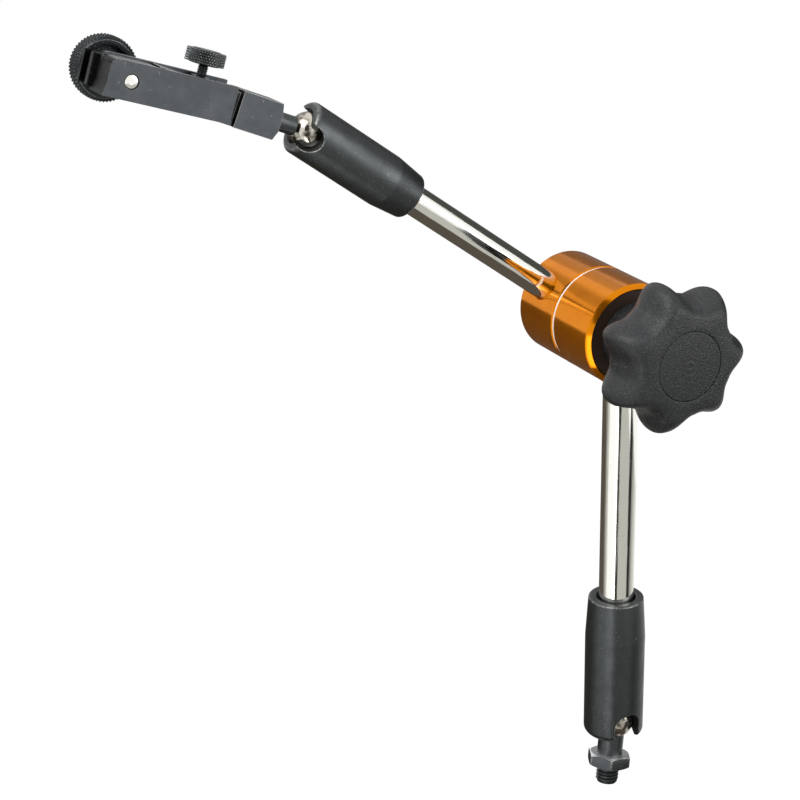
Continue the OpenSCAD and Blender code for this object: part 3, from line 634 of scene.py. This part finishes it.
def build_socket(node, place, *, radius, end_r, length, mouth, lip, edge, flare, seat_r, bore_r,
                 tube_r, entry_r, entry_deep, grip, slot_w, slot_z, slot_az, ease, taper, end_ease,
                 end_face):
    """Ball socket. Its walls are turned profiles r(z), in two halves that leave out the slot
    across the mouth: where the slot is h wide to each side at height z, a half ring at radius r
    runs from az + asin(h / r) to az + 180 deg - asin(h / r). h is half the slot's width below its
    centre, and the square root of (w/2)^2 - (z - centre)^2 round its top. The slot's edges are eased."""
    low, slot_r, az = -mouth, slot_w / 2, math.radians(slot_az)
    lip_r = math.sqrt(seat_r ** 2 - lip ** 2)
    free_r = tube_r + 0.03

    def outer(z):
        """Outer radius: a quarter round at the mouth, straight above it."""
        dip = np.clip(edge + low - z, 0, edge)
        return radius - edge + np.sqrt(edge ** 2 - dip ** 2)

    def inner(z):
        """Inner radius: the mouth's cone, the lip, then the ball's seat."""
        cone = lip_r + flare * np.clip((z + lip) / (low + lip), 0, 1)
        seat = np.sqrt(np.maximum(seat_r ** 2 - z ** 2, 0))
        return np.where(z < -lip / 2, np.maximum(cone, lip_r), np.maximum(seat, bore_r))

    quarter = np.linspace(0, TAU / 4, 12)
    foot = low + edge * (1 - np.cos(quarter))
    arc = np.linspace(0, TAU / 4, 28)[1:]
    shaft = np.linspace(foot[-1], slot_z, 14)[1:]
    straight = np.concatenate([foot, shaft])
    z_out = np.concatenate([straight, slot_z + (slot_r + ease) * np.sin(arc)])
    h_out = np.concatenate([np.full(len(straight), slot_r + ease), (slot_r + ease) * np.cos(arc)])
    z_in = np.concatenate([straight, slot_z + slot_r * np.sin(arc)])
    h_in = np.concatenate([np.full(len(straight), slot_r), slot_r * np.cos(arc)])
    r_out, r_in = outer(z_out), inner(z_in)
    u = np.linspace(0, 1, 81)[None, :]

    def ring(r, h, z):
        """Half rings of points at radius r and height z, clear of the slot's half width h."""
        gap = np.arcsin(np.clip(h / r, 0, 1))[:, None]
        a = gap + (TAU / 2 - 2 * gap) * u
        return np.stack([r[:, None] * np.cos(a), r[:, None] * np.sin(a), z[:, None] + 0 * a], axis=-1)

    top, wear_top = rounded([
        (radius, z_out[-1], 0), (radius, length - taper, 5.0), (end_r, length - 0.2, end_ease),
        (end_r - end_face, length, 0.25), (entry_r, length, 0.2),
        (free_r, length - entry_deep, 0), (free_r, length - grip, 0), (bore_r, length - grip, 0),
    ], 9)
    seat_top = math.sqrt(seat_r ** 2 - bore_r ** 2)
    back = np.empty((0, 2))
    if seat_top > z_in[-1] + 0.1:
        rest = np.linspace(seat_top, z_in[-1], 12)[:-1]
        back = np.stack([inner(rest), rest], axis=1)
    tail = np.vstack([top, back])
    zero = np.zeros(len(tail))
    low_wear = np.clip(1 - np.abs(straight - low - 0.3 * edge) / (0.5 * edge), 0, 1) * 0.5
    wear_top = wear_top * 0.5 * (top[:, 1] > length - 1)
    wear_wall = np.concatenate([
        low_wear, np.zeros(len(z_out) - len(straight)), wear_top, np.zeros(len(back) + len(z_in)),
    ])
    wall = np.concatenate([
        ring(r_out, h_out, z_out), ring(tail[:, 0], zero, tail[:, 1]), ring(r_in, h_in, z_in)[::-1],
    ])

    # The slot's side: an eased edge from the outer wall, then a flat wall to the inner one.
    s = np.linspace(0, 1, 6)[None, :, None]
    first = np.stack([np.sqrt(r_out ** 2 - h_out ** 2), h_out, z_out], axis=-1)[:, None]
    corner = np.stack([np.sqrt(outer(z_in) ** 2 - h_in ** 2), h_in, z_in], axis=-1)[:, None]
    last = corner - [ease, 0, 0]
    inside = np.stack([np.sqrt(r_in ** 2 - h_in ** 2), h_in, z_in], axis=-1)[:, None]
    eased = (1 - s) ** 2 * first + 2 * s * (1 - s) * corner + s ** 2 * last
    flat = last + (inside - last) * np.linspace(0, 1, 6)[None, 1:, None]
    side = np.concatenate([eased, flat], axis=1)
    side_wear = np.concatenate([4 * s[0, :, 0] * (1 - s[0, :, 0]), np.zeros(5)])[None, :]

    # The mouth's end face: rings from the outer edge to the inner one, each starting on the slot's side.
    foot_line = side[0]
    face = ring(np.hypot(foot_line[:, 0], foot_line[:, 1]), foot_line[:, 1], np.full(len(foot_line), low))
    half = [(wall, wear_wall[:, None]), (face, 0.0), (side, side_wear), (side * [-1, 1, 1], side_wear)]
    patches = [(grid @ turned_by(az + a), False, wear) for a in (0, TAU / 2) for grid, wear in half]
    return piece([node], place, OXIDE, *patches, crease=30)


build_socket(
    "lower_socket", LOWER, radius=10.5, end_r=9.6, length=48.5, mouth=4.8, lip=3.0, edge=2.5, flare=1.25,
    seat_r=7.3, bore_r=5.9, tube_r=6.0, entry_r=7.0, entry_deep=2.5, grip=26.0,
    slot_w=9.8, slot_z=1.0, slot_az=0.0, ease=0.35, taper=15.0, end_ease=1.0, end_face=1.0,
)
build_socket(
    "upper_socket", UPPER, radius=8.85, end_r=7.65, length=43.0, mouth=3.2, lip=2.0, edge=1.5, flare=0.55,
    seat_r=6.05, bore_r=4.65, tube_r=5.0, entry_r=5.5, entry_deep=1.6, grip=26.0,
    slot_w=8.6, slot_z=-1.7, slot_az=196.0, ease=0.35, taper=11.0, end_ease=1.8, end_face=1.5,
)


# ---------------------------------------------------------------- tubes

def build_tube(node, place, bore_r):
    """Plain tube: outer and inner walls turned round the arm's axis."""
    radius, low, high = reach(node, place)
    return solid_of_turning([node], place, CHROME, [
        (radius, low, 0), (radius, high - 1.5, 0.3), (radius - 1.2, high - 1.5, 0), (radius - 1.2, high, 0),
        (bore_r, high, 0), (bore_r, low, 0),
    ], closed=True)


build_tube("lower_tube", LOWER, 3.1)
build_tube("upper_tube", UPPER, 2.6)


# ---------------------------------------------------------------- elbow

DRUM_R = 17.75


def build_drum(node, low, high, hole_z, hole_r, hole_az, bevel, depth, corners):
    """Drum with a radial port. The wall round the port is a fan: each point lies on the straight
    line, on the unrolled wall, from the port's edge to the border of a window, at a share s.
    The port's edge at angle t is rho = r + max(0, x - R + bevel), with x = sqrt(R^2 - (rho sin t)^2),
    where the 45 degree entry cone meets the drum. The rest is turned."""
    half, rows, cols = math.radians(34), 14, 24
    z_side = np.linspace(low, high, rows + 1)
    a_side = np.linspace(-half, half, cols + 1)
    border_a = np.concatenate([np.full(rows, half), a_side[:0:-1], np.full(rows, -half), a_side[:-1]])
    border_z = np.concatenate([z_side[:-1], np.full(cols, high), z_side[:0:-1], np.full(cols, low)])
    t = np.arctan2(DRUM_R * border_a, border_z - hole_z)
    rho = np.full_like(t, hole_r)
    for _ in range(8):
        rho = hole_r + np.maximum(0, np.sqrt(DRUM_R ** 2 - (rho * np.sin(t)) ** 2) - DRUM_R + bevel)
    edge_a, edge_z = np.arcsin(rho * np.sin(t) / DRUM_R), hole_z + rho * np.cos(t)
    s = np.linspace(0, 1, 9)[:, None] ** 1.3
    a = hole_az + (1 - s) * edge_a + s * border_a
    z = (1 - s) * edge_z + s * border_z
    fan = np.stack([DRUM_R * np.cos(a), DRUM_R * np.sin(a), z], axis=-1)
    rest_a = np.linspace(half, TAU - half, 100)
    plain_wall = turned(np.stack([np.full(rows + 1, DRUM_R), z_side], axis=1), hole_az + rest_a)[0]
    ring_a = hole_az + np.concatenate([a_side[:-1], rest_a[:-1]])
    profile, wear = rounded(corners)
    x_edge = np.sqrt(DRUM_R ** 2 - (rho * np.sin(t)) ** 2)
    x_cone = np.minimum(x_edge, DRUM_R - bevel)
    one = np.ones_like(t)
    rings = [
        (rho, x_edge), (hole_r * one, x_cone - 0.001), (hole_r * one, depth * one), (0 * one, depth * one),
    ]
    port = np.stack([np.stack([x, r * np.sin(t), hole_z + r * np.cos(t)], axis=-1) for r, x in rings])
    return piece(
        [node], ELBOW, ORANGE, (fan, True), (plain_wall, False), turned(profile, ring_a, wear),
        (port @ turned_by(hole_az), True), crease=25,
    )


NEAR_LEN, FAR_LEN = reach("near_housing", ELBOW)[2], -reach("far_housing", ELBOW)[1]
SEAM = 0.4
LOWER_OFF = ELBOW.local(LOWER.origin)[2]
UPPER_OFF = ELBOW.local(UPPER.origin)[2]
UPPER_AZ = math.atan2(*ELBOW.local(UPPER.origin)[1::-1])
build_drum("near_housing", SEAM + 0.5, NEAR_LEN - 1.5, LOWER_OFF, 6.0, 0.0, 0.3, 9.0, [
    (DRUM_R, NEAR_LEN - 1.5, 0), (16.2, NEAR_LEN, 0.15), (16.0, NEAR_LEN - 0.3, 0.1),
    (16.0, NEAR_LEN - 1.8, 0), (8.1, NEAR_LEN - 1.8, 0), (8.1, 5.9, 0), (4.1, 5.9, 0), (4.1, SEAM, 0),
    (DRUM_R - 0.5, SEAM, 0.15), (DRUM_R, SEAM + 0.5, 0),
])
build_drum("far_housing", 1.0 - FAR_LEN, -SEAM - 0.5, UPPER_OFF, 5.0, UPPER_AZ, 1.0, 9.0, [
    (DRUM_R, -SEAM - 0.5, 0), (DRUM_R - 0.5, -SEAM, 0.15), (4.1, -SEAM, 0), (4.1, -5.9, 0), (8.1, -5.9, 0),
    (8.1, -FAR_LEN, 0), (DRUM_R - 0.9, -FAR_LEN, 0.3), (DRUM_R, 1.0 - FAR_LEN, 0),
])
solid_of_turning(["friction_washer"], ELBOW, NYLON_WHITE, [
    (4.2, -SEAM, 0), (DRUM_R - 0.3, -SEAM, 0.15), (DRUM_R - 0.3, SEAM, 0.15), (4.2, SEAM, 0),
], closed=True)
WASHER_R, WASHER_LOW, WASHER_HIGH = reach("thrust_washer", ELBOW)
solid_of_turning(["thrust_washer"], ELBOW, FIBRE, [
    (4.05, WASHER_LOW, 0), (WASHER_R, WASHER_LOW, 0.2),
    (WASHER_R, WASHER_HIGH, 0.2), (4.05, WASHER_HIGH, 0.1),
], closed=True)
solid_of_turning(["end_plug"], ELBOW, NYLON_BLACK, [
    (0, -FAR_LEN + 0.15, 0), (7.7, -FAR_LEN + 0.15, 0.3), (8.0, -FAR_LEN + 1.2, 0), (0, -FAR_LEN + 1.2, 0),
], count=96)


# ---------------------------------------------------------------- star knob

KNOB_R, HUB_LOW, KNOB_TOP = reach("star_knob", ELBOW)
CAP_R = reach("knob_cap", ELBOW)[0]
CAP_DEEP = 2.0
LOBES = 7
LOBE_TURN = math.radians(38.5)
KNOB_DEEP = 20.0
KNOB_BORE_R = 6.5


def smooth_through(points, count):
    """A curve through points, as a Catmull-Rom spline: each span is the cubic whose slopes at its
    ends are half the difference of the points to either side."""
    p = np.asarray(points, float)
    p = np.vstack([2 * p[0] - p[1], p, 2 * p[-1] - p[-2]])
    at = np.linspace(0, len(p) - 3 - 1e-9, count)
    i, s = at.astype(int), (at % 1.0)[:, None]
    a, b, c, d = p[i], p[i + 1], p[i + 2], p[i + 3]
    square, cube = 2 * a - 5 * b + 4 * c - d, 3 * b - a - 3 * c + d
    return 0.5 * (2 * b + (c - a) * s + square * s ** 2 + cube * s ** 3)


def build_star_knob():
    """Star knob. Two outlines (radius, depth below the face), one through a lobe and one through a
    hollow, are mixed round the axis with the weight ((1 + cos 7a) / 2)^1.6. The face, cap recess,
    hub and bore are turned."""
    scale = (KNOB_R - 0.05) / 25.5
    lobe = smooth_through([
        (15.0, 0.12), (18.2, 0.5), (20.4, 1.5), (22.6, 3.6), (24.5, 7.0), (25.45, 10.5), (25.2, 14.5),
        (23.6, 17.8), (20.0, 20.0),
    ], 60)
    hollow = smooth_through([
        (14.2, 0.12), (16.0, 0.5), (17.4, 1.5), (18.6, 3.6), (19.5, 7.0), (20.3, 10.5), (20.2, 14.5),
        (18.8, 17.8), (17.2, 20.0),
    ], 60)
    a = around(LOBES * 56)
    weight = ((1 + np.cos(LOBES * (a - LOBE_TURN))) / 2)[None, :] ** 1.6
    r = (hollow[:, :1] + (lobe[:, :1] - hollow[:, :1]) * weight) * scale
    z = KNOB_TOP - (hollow[:, 1:] + (lobe[:, 1:] - hollow[:, 1:]) * weight)
    skin = np.stack([r * np.cos(a), r * np.sin(a), z], axis=-1)
    hub_r = 12.0
    low = KNOB_TOP - KNOB_DEEP
    inner, _ = rounded([
        (KNOB_BORE_R, HUB_LOW, 0), (hub_r, HUB_LOW, 0.6), (hub_r, low, 1.2), (16.0, low, 0),
    ])
    under = np.concatenate([turned(inner, a)[0], skin[-1:]])
    face, _ = rounded([
        (KNOB_BORE_R, HUB_LOW, 0), (KNOB_BORE_R, KNOB_TOP - 3.0, 0), (KNOB_BORE_R, KNOB_TOP - CAP_DEEP, 0),
        (CAP_R + 0.12, KNOB_TOP - CAP_DEEP, 0), (CAP_R + 0.12, KNOB_TOP, 0.2), (13.0, KNOB_TOP, 0),
    ])
    over = np.concatenate([turned(face, a)[0], skin[:1]])
    return piece(["star_knob"], ELBOW, NYLON_BLACK, (skin, True), (under, True), (over, True), crease=40)


build_star_knob()
# The cap's moulding mark: a small raised ring round its middle, and a finer one outside it.
CAP_PROFILE = [
    (0, 0.18, 0), (0.5, 0.22, 0.2), (0.9, 0.02, 0.2), (1.5, 0.02, 0.2), (1.9, 0.16, 0.2), (2.9, 0.16, 0.1),
    (3.1, 0.08, 0.1), (3.3, 0.16, 0.1), (CAP_R, 0.12, 0.25), (CAP_R, CAP_DEEP, 0), (0, CAP_DEEP, 0),
]
CAP_CORNERS = [(radius, KNOB_TOP - deep, ease) for radius, deep, ease in CAP_PROFILE]
solid_of_turning(["knob_cap"], ELBOW, NYLON_BLACK, CAP_CORNERS)
INSERT_R, INSERT_LOW, INSERT_HIGH = reach("knob_insert", ELBOW)
solid_of_turning(["knob_insert"], ELBOW, BRASS, [
    (4.1, INSERT_LOW + 0.5, 0), (4.6, INSERT_LOW, 0.1), (INSERT_R, INSERT_LOW, 0.2),
    (INSERT_R, INSERT_HIGH, 0), (4.1, INSERT_HIGH, 0),
], closed=True, count=96)


# ---------------------------------------------------------------- head

NECK_R, BLOCK_AT = 3.0, 12.0
SCREW_HEAD_H = 4.5


def build_neck():
    """Neck between the ball and the head: turned, with a thin spigot at its foot."""
    return solid_of_turning(["upper_stud"], HEAD, OXIDE, [
        (0, 1.0, 0), (1.7, 1.0, 0), (1.7, 5.2, 0),
        (NECK_R, 5.2, 0), (NECK_R, BLOCK_AT, 0), (0, BLOCK_AT, 0),
    ], count=96)


def build_fine_screw():
    """Thumbscrew: an M3 thread on its shank, a collar, and a head with a diamond knurl between
    two chamfers."""
    head_r, low, high = reach("fine_screw", SCREW)
    head_low = high - SCREW_HEAD_H
    shank_r, collar_r, collar_h, tip_r = 1.6, 3.0, 0.6, 1.3
    root_r, collar_top, shoulder = shank_r - 0.3, COLLAR_AT + collar_h, COLLAR_AT - 1.5
    below, _ = rounded([
        (0, low, 0), (1.1, low, 0), (tip_r, low + 0.4, 0), (tip_r, shoulder, 0), (shank_r, shoulder, 0),
        (shank_r, COLLAR_AT, 0), (collar_r, COLLAR_AT, 0.1), (collar_r, collar_top, 0.1),
        (root_r, collar_top, 0),
    ])
    winding = thread(shank_r, 0.3, 0.5, collar_top, head_low, 48, 10)[0]
    grooves, cols, edge = 43, 430, 0.3
    a = around(cols)
    pattern, _, crest = knurl(head_r, 0.42, head_low + edge, high - edge, grooves, cols, 26)
    under, _ = rounded([(root_r, head_low, 0), (head_r - 0.6, head_low, 0.15)])
    over, _ = rounded([(head_r - 0.6, high, 0.15), (0, high, 0)])
    side = np.concatenate([turned(under, a)[0], pattern, turned(over, a)[0]])
    worn = np.concatenate([np.zeros((len(under), cols)), crest, np.zeros((len(over), cols))])
    return piece(
        ["fine_screw"], SCREW, OXIDE, turned(below, around(48)), (winding, False), (side, True, worn),
        crease=38, weld=3e-7,
    )


SCREW = Place(joint_point("fine_screw_turn"), -joint_axis("fine_screw_turn"), joint_axis("stem_swivel"))
SCREW_POINTS = node_points("fine_screw", SCREW)
SCREW_R = np.hypot(SCREW_POINTS[:, 0], SCREW_POINTS[:, 1])
COLLAR_AT = SCREW_POINTS[(SCREW_R > 2.95) & (SCREW_R < 3.05), 2].min()
build_neck()
build_fine_screw()
# The ends of the bar and the block get a near-black copy of the oxide finish: painted shade.
for node, place in (("fine_block", HEAD), ("head_bar", BAR)):
    milled = machined(node, place, OXIDE_FLAT, 0.28, edge_look=OXIDE_EDGE)
    look_across(milled, BAR.axes[:, 2], OXIDE_PAINTED_SHADE)
# The stem clamp, set back behind the bar's end, takes the near-black copy too: painted shade.
machined("stem_clamp", CLAMP, OXIDE_PAINTED_SHADE, 0.3)


def build_spring():
    """Return spring: a round wire carried along a helix, with closed ends."""
    points = node_points("return_spring", BAR)
    low, high = points.min(axis=0), points.max(axis=0)
    wire, turns, sides = 0.35, 5, 10
    middle = (low + high) / 2
    coil_r = (high[0] - low[0]) / 2 - wire
    a = np.linspace(0, TAU * turns, turns * 40 + 1)[:, None]
    b = around(sides)[None, :]
    rise = low[1] + wire + (high[1] - low[1] - 2 * wire) * a / (TAU * turns)
    tilt = (high[1] - low[1]) / (TAU * turns * coil_r)
    out = wire * np.cos(b)
    up = wire * np.sin(b)
    r = coil_r + out
    x = middle[0] + r * np.cos(a) + up * tilt * np.sin(a)
    z = middle[2] - r * np.sin(a) + up * tilt * np.cos(a)
    grid = np.stack([x, rise + up, z], axis=-1)
    ends = np.stack([np.repeat(g.mean(axis=0)[None], sides, axis=0) for g in (grid[0], grid[-1])])
    grid = np.concatenate([ends[:1], grid, ends[1:]])
    shown = piece(["return_spring"], BAR, STEEL, (grid, True))
    BAR.world([middle[0], low[1], middle[2]])
    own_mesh(shown)
    return shown


build_spring()


# ---------------------------------------------------------------- clamp

ACROSS = CLAMP.facing((-1, 0, 0), (0, 0, 1))
CLAMP_BORE_R = 2.4


def build_clamp_bolt():
    """Clamp bolt: a bright turned pin. Its open end, just below the bar's face, is a shallow dome."""
    radius, low, high = reach("clamp_bolt", ACROSS)
    return solid_of_turning(["clamp_bolt"], ACROSS, CHROME, [
        (0, low + 0.04, 0), (1.0, low + 0.1, 0.8), (radius - 0.3, low + 0.32, 0.3),
        (radius - 0.08, low + 0.6, 0.1), (radius - 0.08, high, 0.2), (0, high, 0),
    ], count=96)


def build_clamp_knob():
    """Clamp knob: a disc with a diamond knurl on its rim and a ring groove in its inner face."""
    radius, low, high = reach("clamp_knob", ACROSS)
    grooves, cols = 56, 560
    groove_in, groove_out, groove_floor = 5.0, 7.3, low + 3.0
    knurl_root = radius - 0.62
    pattern, _, crest = knurl(radius, 0.5, low + 0.9, high - 0.5, grooves, cols, 36)
    a = around(cols)
    inner, wear_in = rounded([
        (CLAMP_BORE_R, high, 0), (CLAMP_BORE_R, low, 0.2), (groove_in, low, 0.25),
        (groove_in, groove_floor, 0.3), (groove_out, groove_floor, 0.3), (groove_out, low, 0.25),
        (radius - 1.3, low, 0.3), (knurl_root, low + 0.7, 0),
    ])
    outer, wear_out = rounded([
        (knurl_root, high - 0.3, 0), (radius - 1.0, high, 0.2), (CLAMP_BORE_R, high, 0),
    ])
    side = np.concatenate([turned(inner, a)[0], pattern, turned(outer, a)[0]])
    face_wear = [np.repeat(0.6 * wear[:, None], cols, axis=1) for wear in (wear_in, wear_out)]
    worn = np.concatenate([face_wear[0], 0.7 * crest, face_wear[1]])
    return piece(["clamp_knob"], ACROSS, OXIDE_KNURL, (side, True, worn), crease=38)


build_clamp_bolt()
build_clamp_knob()
CLAMP_WASHER_R, CLAMP_WASHER_LOW, CLAMP_WASHER_HIGH = reach("clamp_washer", ACROSS)
solid_of_turning(["clamp_washer"], ACROSS, STEEL, [
    (CLAMP_BORE_R, CLAMP_WASHER_LOW, 0), (CLAMP_WASHER_R, CLAMP_WASHER_LOW, 0.15),
    (CLAMP_WASHER_R, CLAMP_WASHER_HIGH, 0.15), (CLAMP_BORE_R, CLAMP_WASHER_HIGH, 0),
], closed=True, count=96)


# ---------------------------------------------------------------- stage

def stage_plane(name, corners, look):
    """A flat four-cornered piece of the studio."""
    mesh = bpy.data.meshes.new(name)
    mesh.from_pydata(corners, [], [(0, 1, 2, 3)])
    mesh.materials.append(look)
    shown = bpy.data.objects.new(name, mesh)
    bpy.context.scene.collection.objects.link(shown)
    return shown


def background_share(tree):
    """1 for a ray that comes straight from the camera or off gloss or through glass, 0 for the light."""
    path = add(tree, "LightPath").outputs
    seen = add(tree, "Math", LARGER, _0=path["Is Camera Ray"], _1=path["Is Glossy Ray"])
    return add(tree, "Math", LARGER, _0=seen, _1=path["Is Transmission Ray"])


FLOOR_Z = -0.12
floor_look, tree = material("pale_floor_paint")
paint = add(tree, "BsdfDiffuse", None, Color=linear("#f4f4f4"))
glow = add(tree, "Emission", None, Color=(1, 1, 1, 1), Strength=1.08)
share = add(tree, "Math", MULTIPLIED, _0=background_share(tree), _1=0.86)
add(tree, "OutputMaterial", None, Surface=add(tree, "MixShader", None, _0=share, _1=paint, _2=glow))
stage_plane("floor", [(-3, -3, FLOOR_Z), (3, -3, FLOOR_Z), (3, 3, FLOOR_Z), (-3, 3, FLOOR_Z)], floor_look)

world = bpy.data.worlds.new("studio")
bpy.context.scene.world = world
world.use_nodes = True
tree = world.node_tree
tree.nodes.clear()
soft = add(tree, "Background", None, Color=(1, 1, 1, 1), Strength=0.6)
white = add(tree, "Background", None, Color=(1, 1, 1, 1), Strength=1.0)
mixed = add(tree, "MixShader", None, _0=background_share(tree), _1=soft, _2=white)
add(tree, "OutputWorld", None, Surface=mixed)


def soft_box(name, place, aim, size, watts):
    """A square area lamp that faces a point."""
    lamp = bpy.data.lights.new(name, "AREA")
    lamp.energy = watts
    lamp.size = size
    shown = bpy.data.objects.new(name, lamp)
    shown.location = place
    shown.rotation_mode = "QUATERNION"
    shown.rotation_quaternion = (Vector(aim) - Vector(place)).to_track_quat("-Z", "Y")
    bpy.context.scene.collection.objects.link(shown)
    return shown


AIM = (-0.05, 0.0, 0.12)
soft_box("key_box", (-0.6, -0.6, 0.9), AIM, 0.7, 8)
soft_box("fill_box", (0.8, -0.5, 0.4), AIM, 0.6, 3)


def card(name, points, faces, tone, strength=1.0):
    """A matt card that only shows in reflections: the camera doesn't see it and it throws no shadow."""
    mesh = bpy.data.meshes.new(name)
    mesh.from_pydata(points, [], faces)
    made, tree = material(name + "_paper")
    paper = add(tree, "Emission", None, Color=linear(tone), Strength=strength)
    add(tree, "OutputMaterial", None, Surface=paper)
    mesh.materials.append(made)
    shown = bpy.data.objects.new(name, mesh)
    shown.visible_camera = shown.visible_shadow = shown.visible_diffuse = False
    bpy.context.scene.collection.objects.link(shown)
    return shown


CARD_DISTANCE = 1.6
ARC_STEPS = 8
STRIP = [(i, i + 1, i + ARC_STEPS + 2, i + ARC_STEPS + 1) for i in range(ARC_STEPS)]


def arc_points(centre, compass_from, compass_to, radius):
    """The x and y of points on a circle, between two compass directions in degrees."""
    a = np.radians(np.linspace(compass_from, compass_to, ARC_STEPS + 1))
    return centre[0] + radius * np.sin(a), centre[1] - radius * np.cos(a)


def standing_card(name, compass, width, low, high, tone):
    """A tall card that bends round the object along a circle, from compass - width/2 to
    compass + width/2 degrees, between two heights in metres. Compass 0 is toward the camera."""
    x, y = arc_points(AIM, compass - width / 2, compass + width / 2, CARD_DISTANCE)
    points = [(*p, low) for p in zip(x, y)] + [(*p, high) for p in zip(x, y)]
    return card(name, points, STRIP, tone)


def lying_card(name, outline, lift, tone, strength=1.0):
    """A flat card just above the floor, with its outline in metres."""
    points = [(x, y, FLOOR_Z + lift) for x, y in outline]
    return card(name, points, [tuple(range(len(points)))], tone, strength)


def sector_card(name, compass_from, compass_to, near, far, lift, tone):
    """A flat card just above the floor: a sector of a ring round the lower tube's foot."""
    points = []
    for radius in (near, far):
        x, y = arc_points(TUBE_FOOT, compass_from, compass_to, radius)
        points += [(*p, FLOOR_Z + lift) for p in zip(x, y)]
    return card(name, points, STRIP, tone)


TUBE_FOOT = (-0.01, -0.005)
# A dark card on the floor under the object, seen only in reflections: painted shadow of the floor beneath
# it.
lying_card("painted_floor_shadow", [
    (0.15, -0.22), (0.2, -0.1), (0.3, 0.1), (0.1, 0.5), (-0.1, 2.0), (-2.2, 2.0), (-2.2, 1.05),
    (-0.5, 0.1), (-0.2, 0.04), (-0.17, -0.02), (-0.11, -0.09), (-0.06, -0.14), (-0.02, -0.205),
], 0.002, "#565048")
# Sectors of the floor, from and to a compass direction, that the tubes and sockets reflect as bands.
FLOOR_TONES = [
    (-108, -97, "#76736d"), (-97, -86, "#aeaca6"), (-86, -75, "#d6d5d0"),
    (-12, 2, "#2e2e2c"), (2, 67, "#bebeb9"),
    (67, 87, "#30302e"), (87, 97, "#868682"), (97, 112, "#b4b4b0"),
    (112, 131, "#d2d2ce"), (131, 165, "#e6e6e2"),
]
for number, (start, end, tone) in enumerate(FLOOR_TONES):
    near = 0.2 if start < -20 else 0.15
    far = 0.85 if start < 60 else 1.2
    sector_card("floor_tone_%d" % number, start, end, near, far, 0.003, tone)
lying_card("bright_front_left", [
    (-0.3, -0.95), (-0.42, -0.8), (-0.27, -0.5), (-0.19, -0.34), (-0.14, -0.24), (-0.1, -0.18),
    (-0.06, -0.13), (-0.03, -0.15), (-0.06, -0.21), (-0.09, -0.29), (-0.13, -0.39), (-0.19, -0.55),
], 0.004, "#ffffff", 3.4)
standing_card("dark_back", 131, 66, 0.1, 1.41, "#4a4a48")
standing_card("mid_back", 174, 20, 0.1, 1.3, "#787673")
standing_card("grey_back_left", -132, 22, 0.8, 1.5, "#c0c0bd")
standing_card("thin_back_left", -120, 5, 0.6, 0.95, "#a8a8a4")
standing_card("high_back", -166, 20, 1.2, 1.75, "#c4c4c0")
standing_card("dark_front", -6, 26, 0.2, 1.45, "#3a3a38")

lens = bpy.data.cameras.new("camera")
lens.sensor_width = 36.0
lens.lens = 90.0
lens.clip_start, lens.clip_end = 0.01, 20.0
camera = bpy.data.objects.new("camera", lens)
EYE = Vector((-0.09631, -0.67914, 0.25883))
FORWARD = Vector((0.0158, 0.9814, -0.1914)).normalized()
UP = Vector((0.9966, 0.0, 0.0823)).cross(FORWARD).normalized()
turn = Matrix((FORWARD.cross(UP), UP, -FORWARD)).transposed()
camera.matrix_world = Matrix.Translation(EYE) @ turn.to_4x4()
bpy.context.scene.collection.objects.link(camera)
bpy.context.scene.camera = camera
bpy.context.scene.view_settings.view_transform = "Standard"
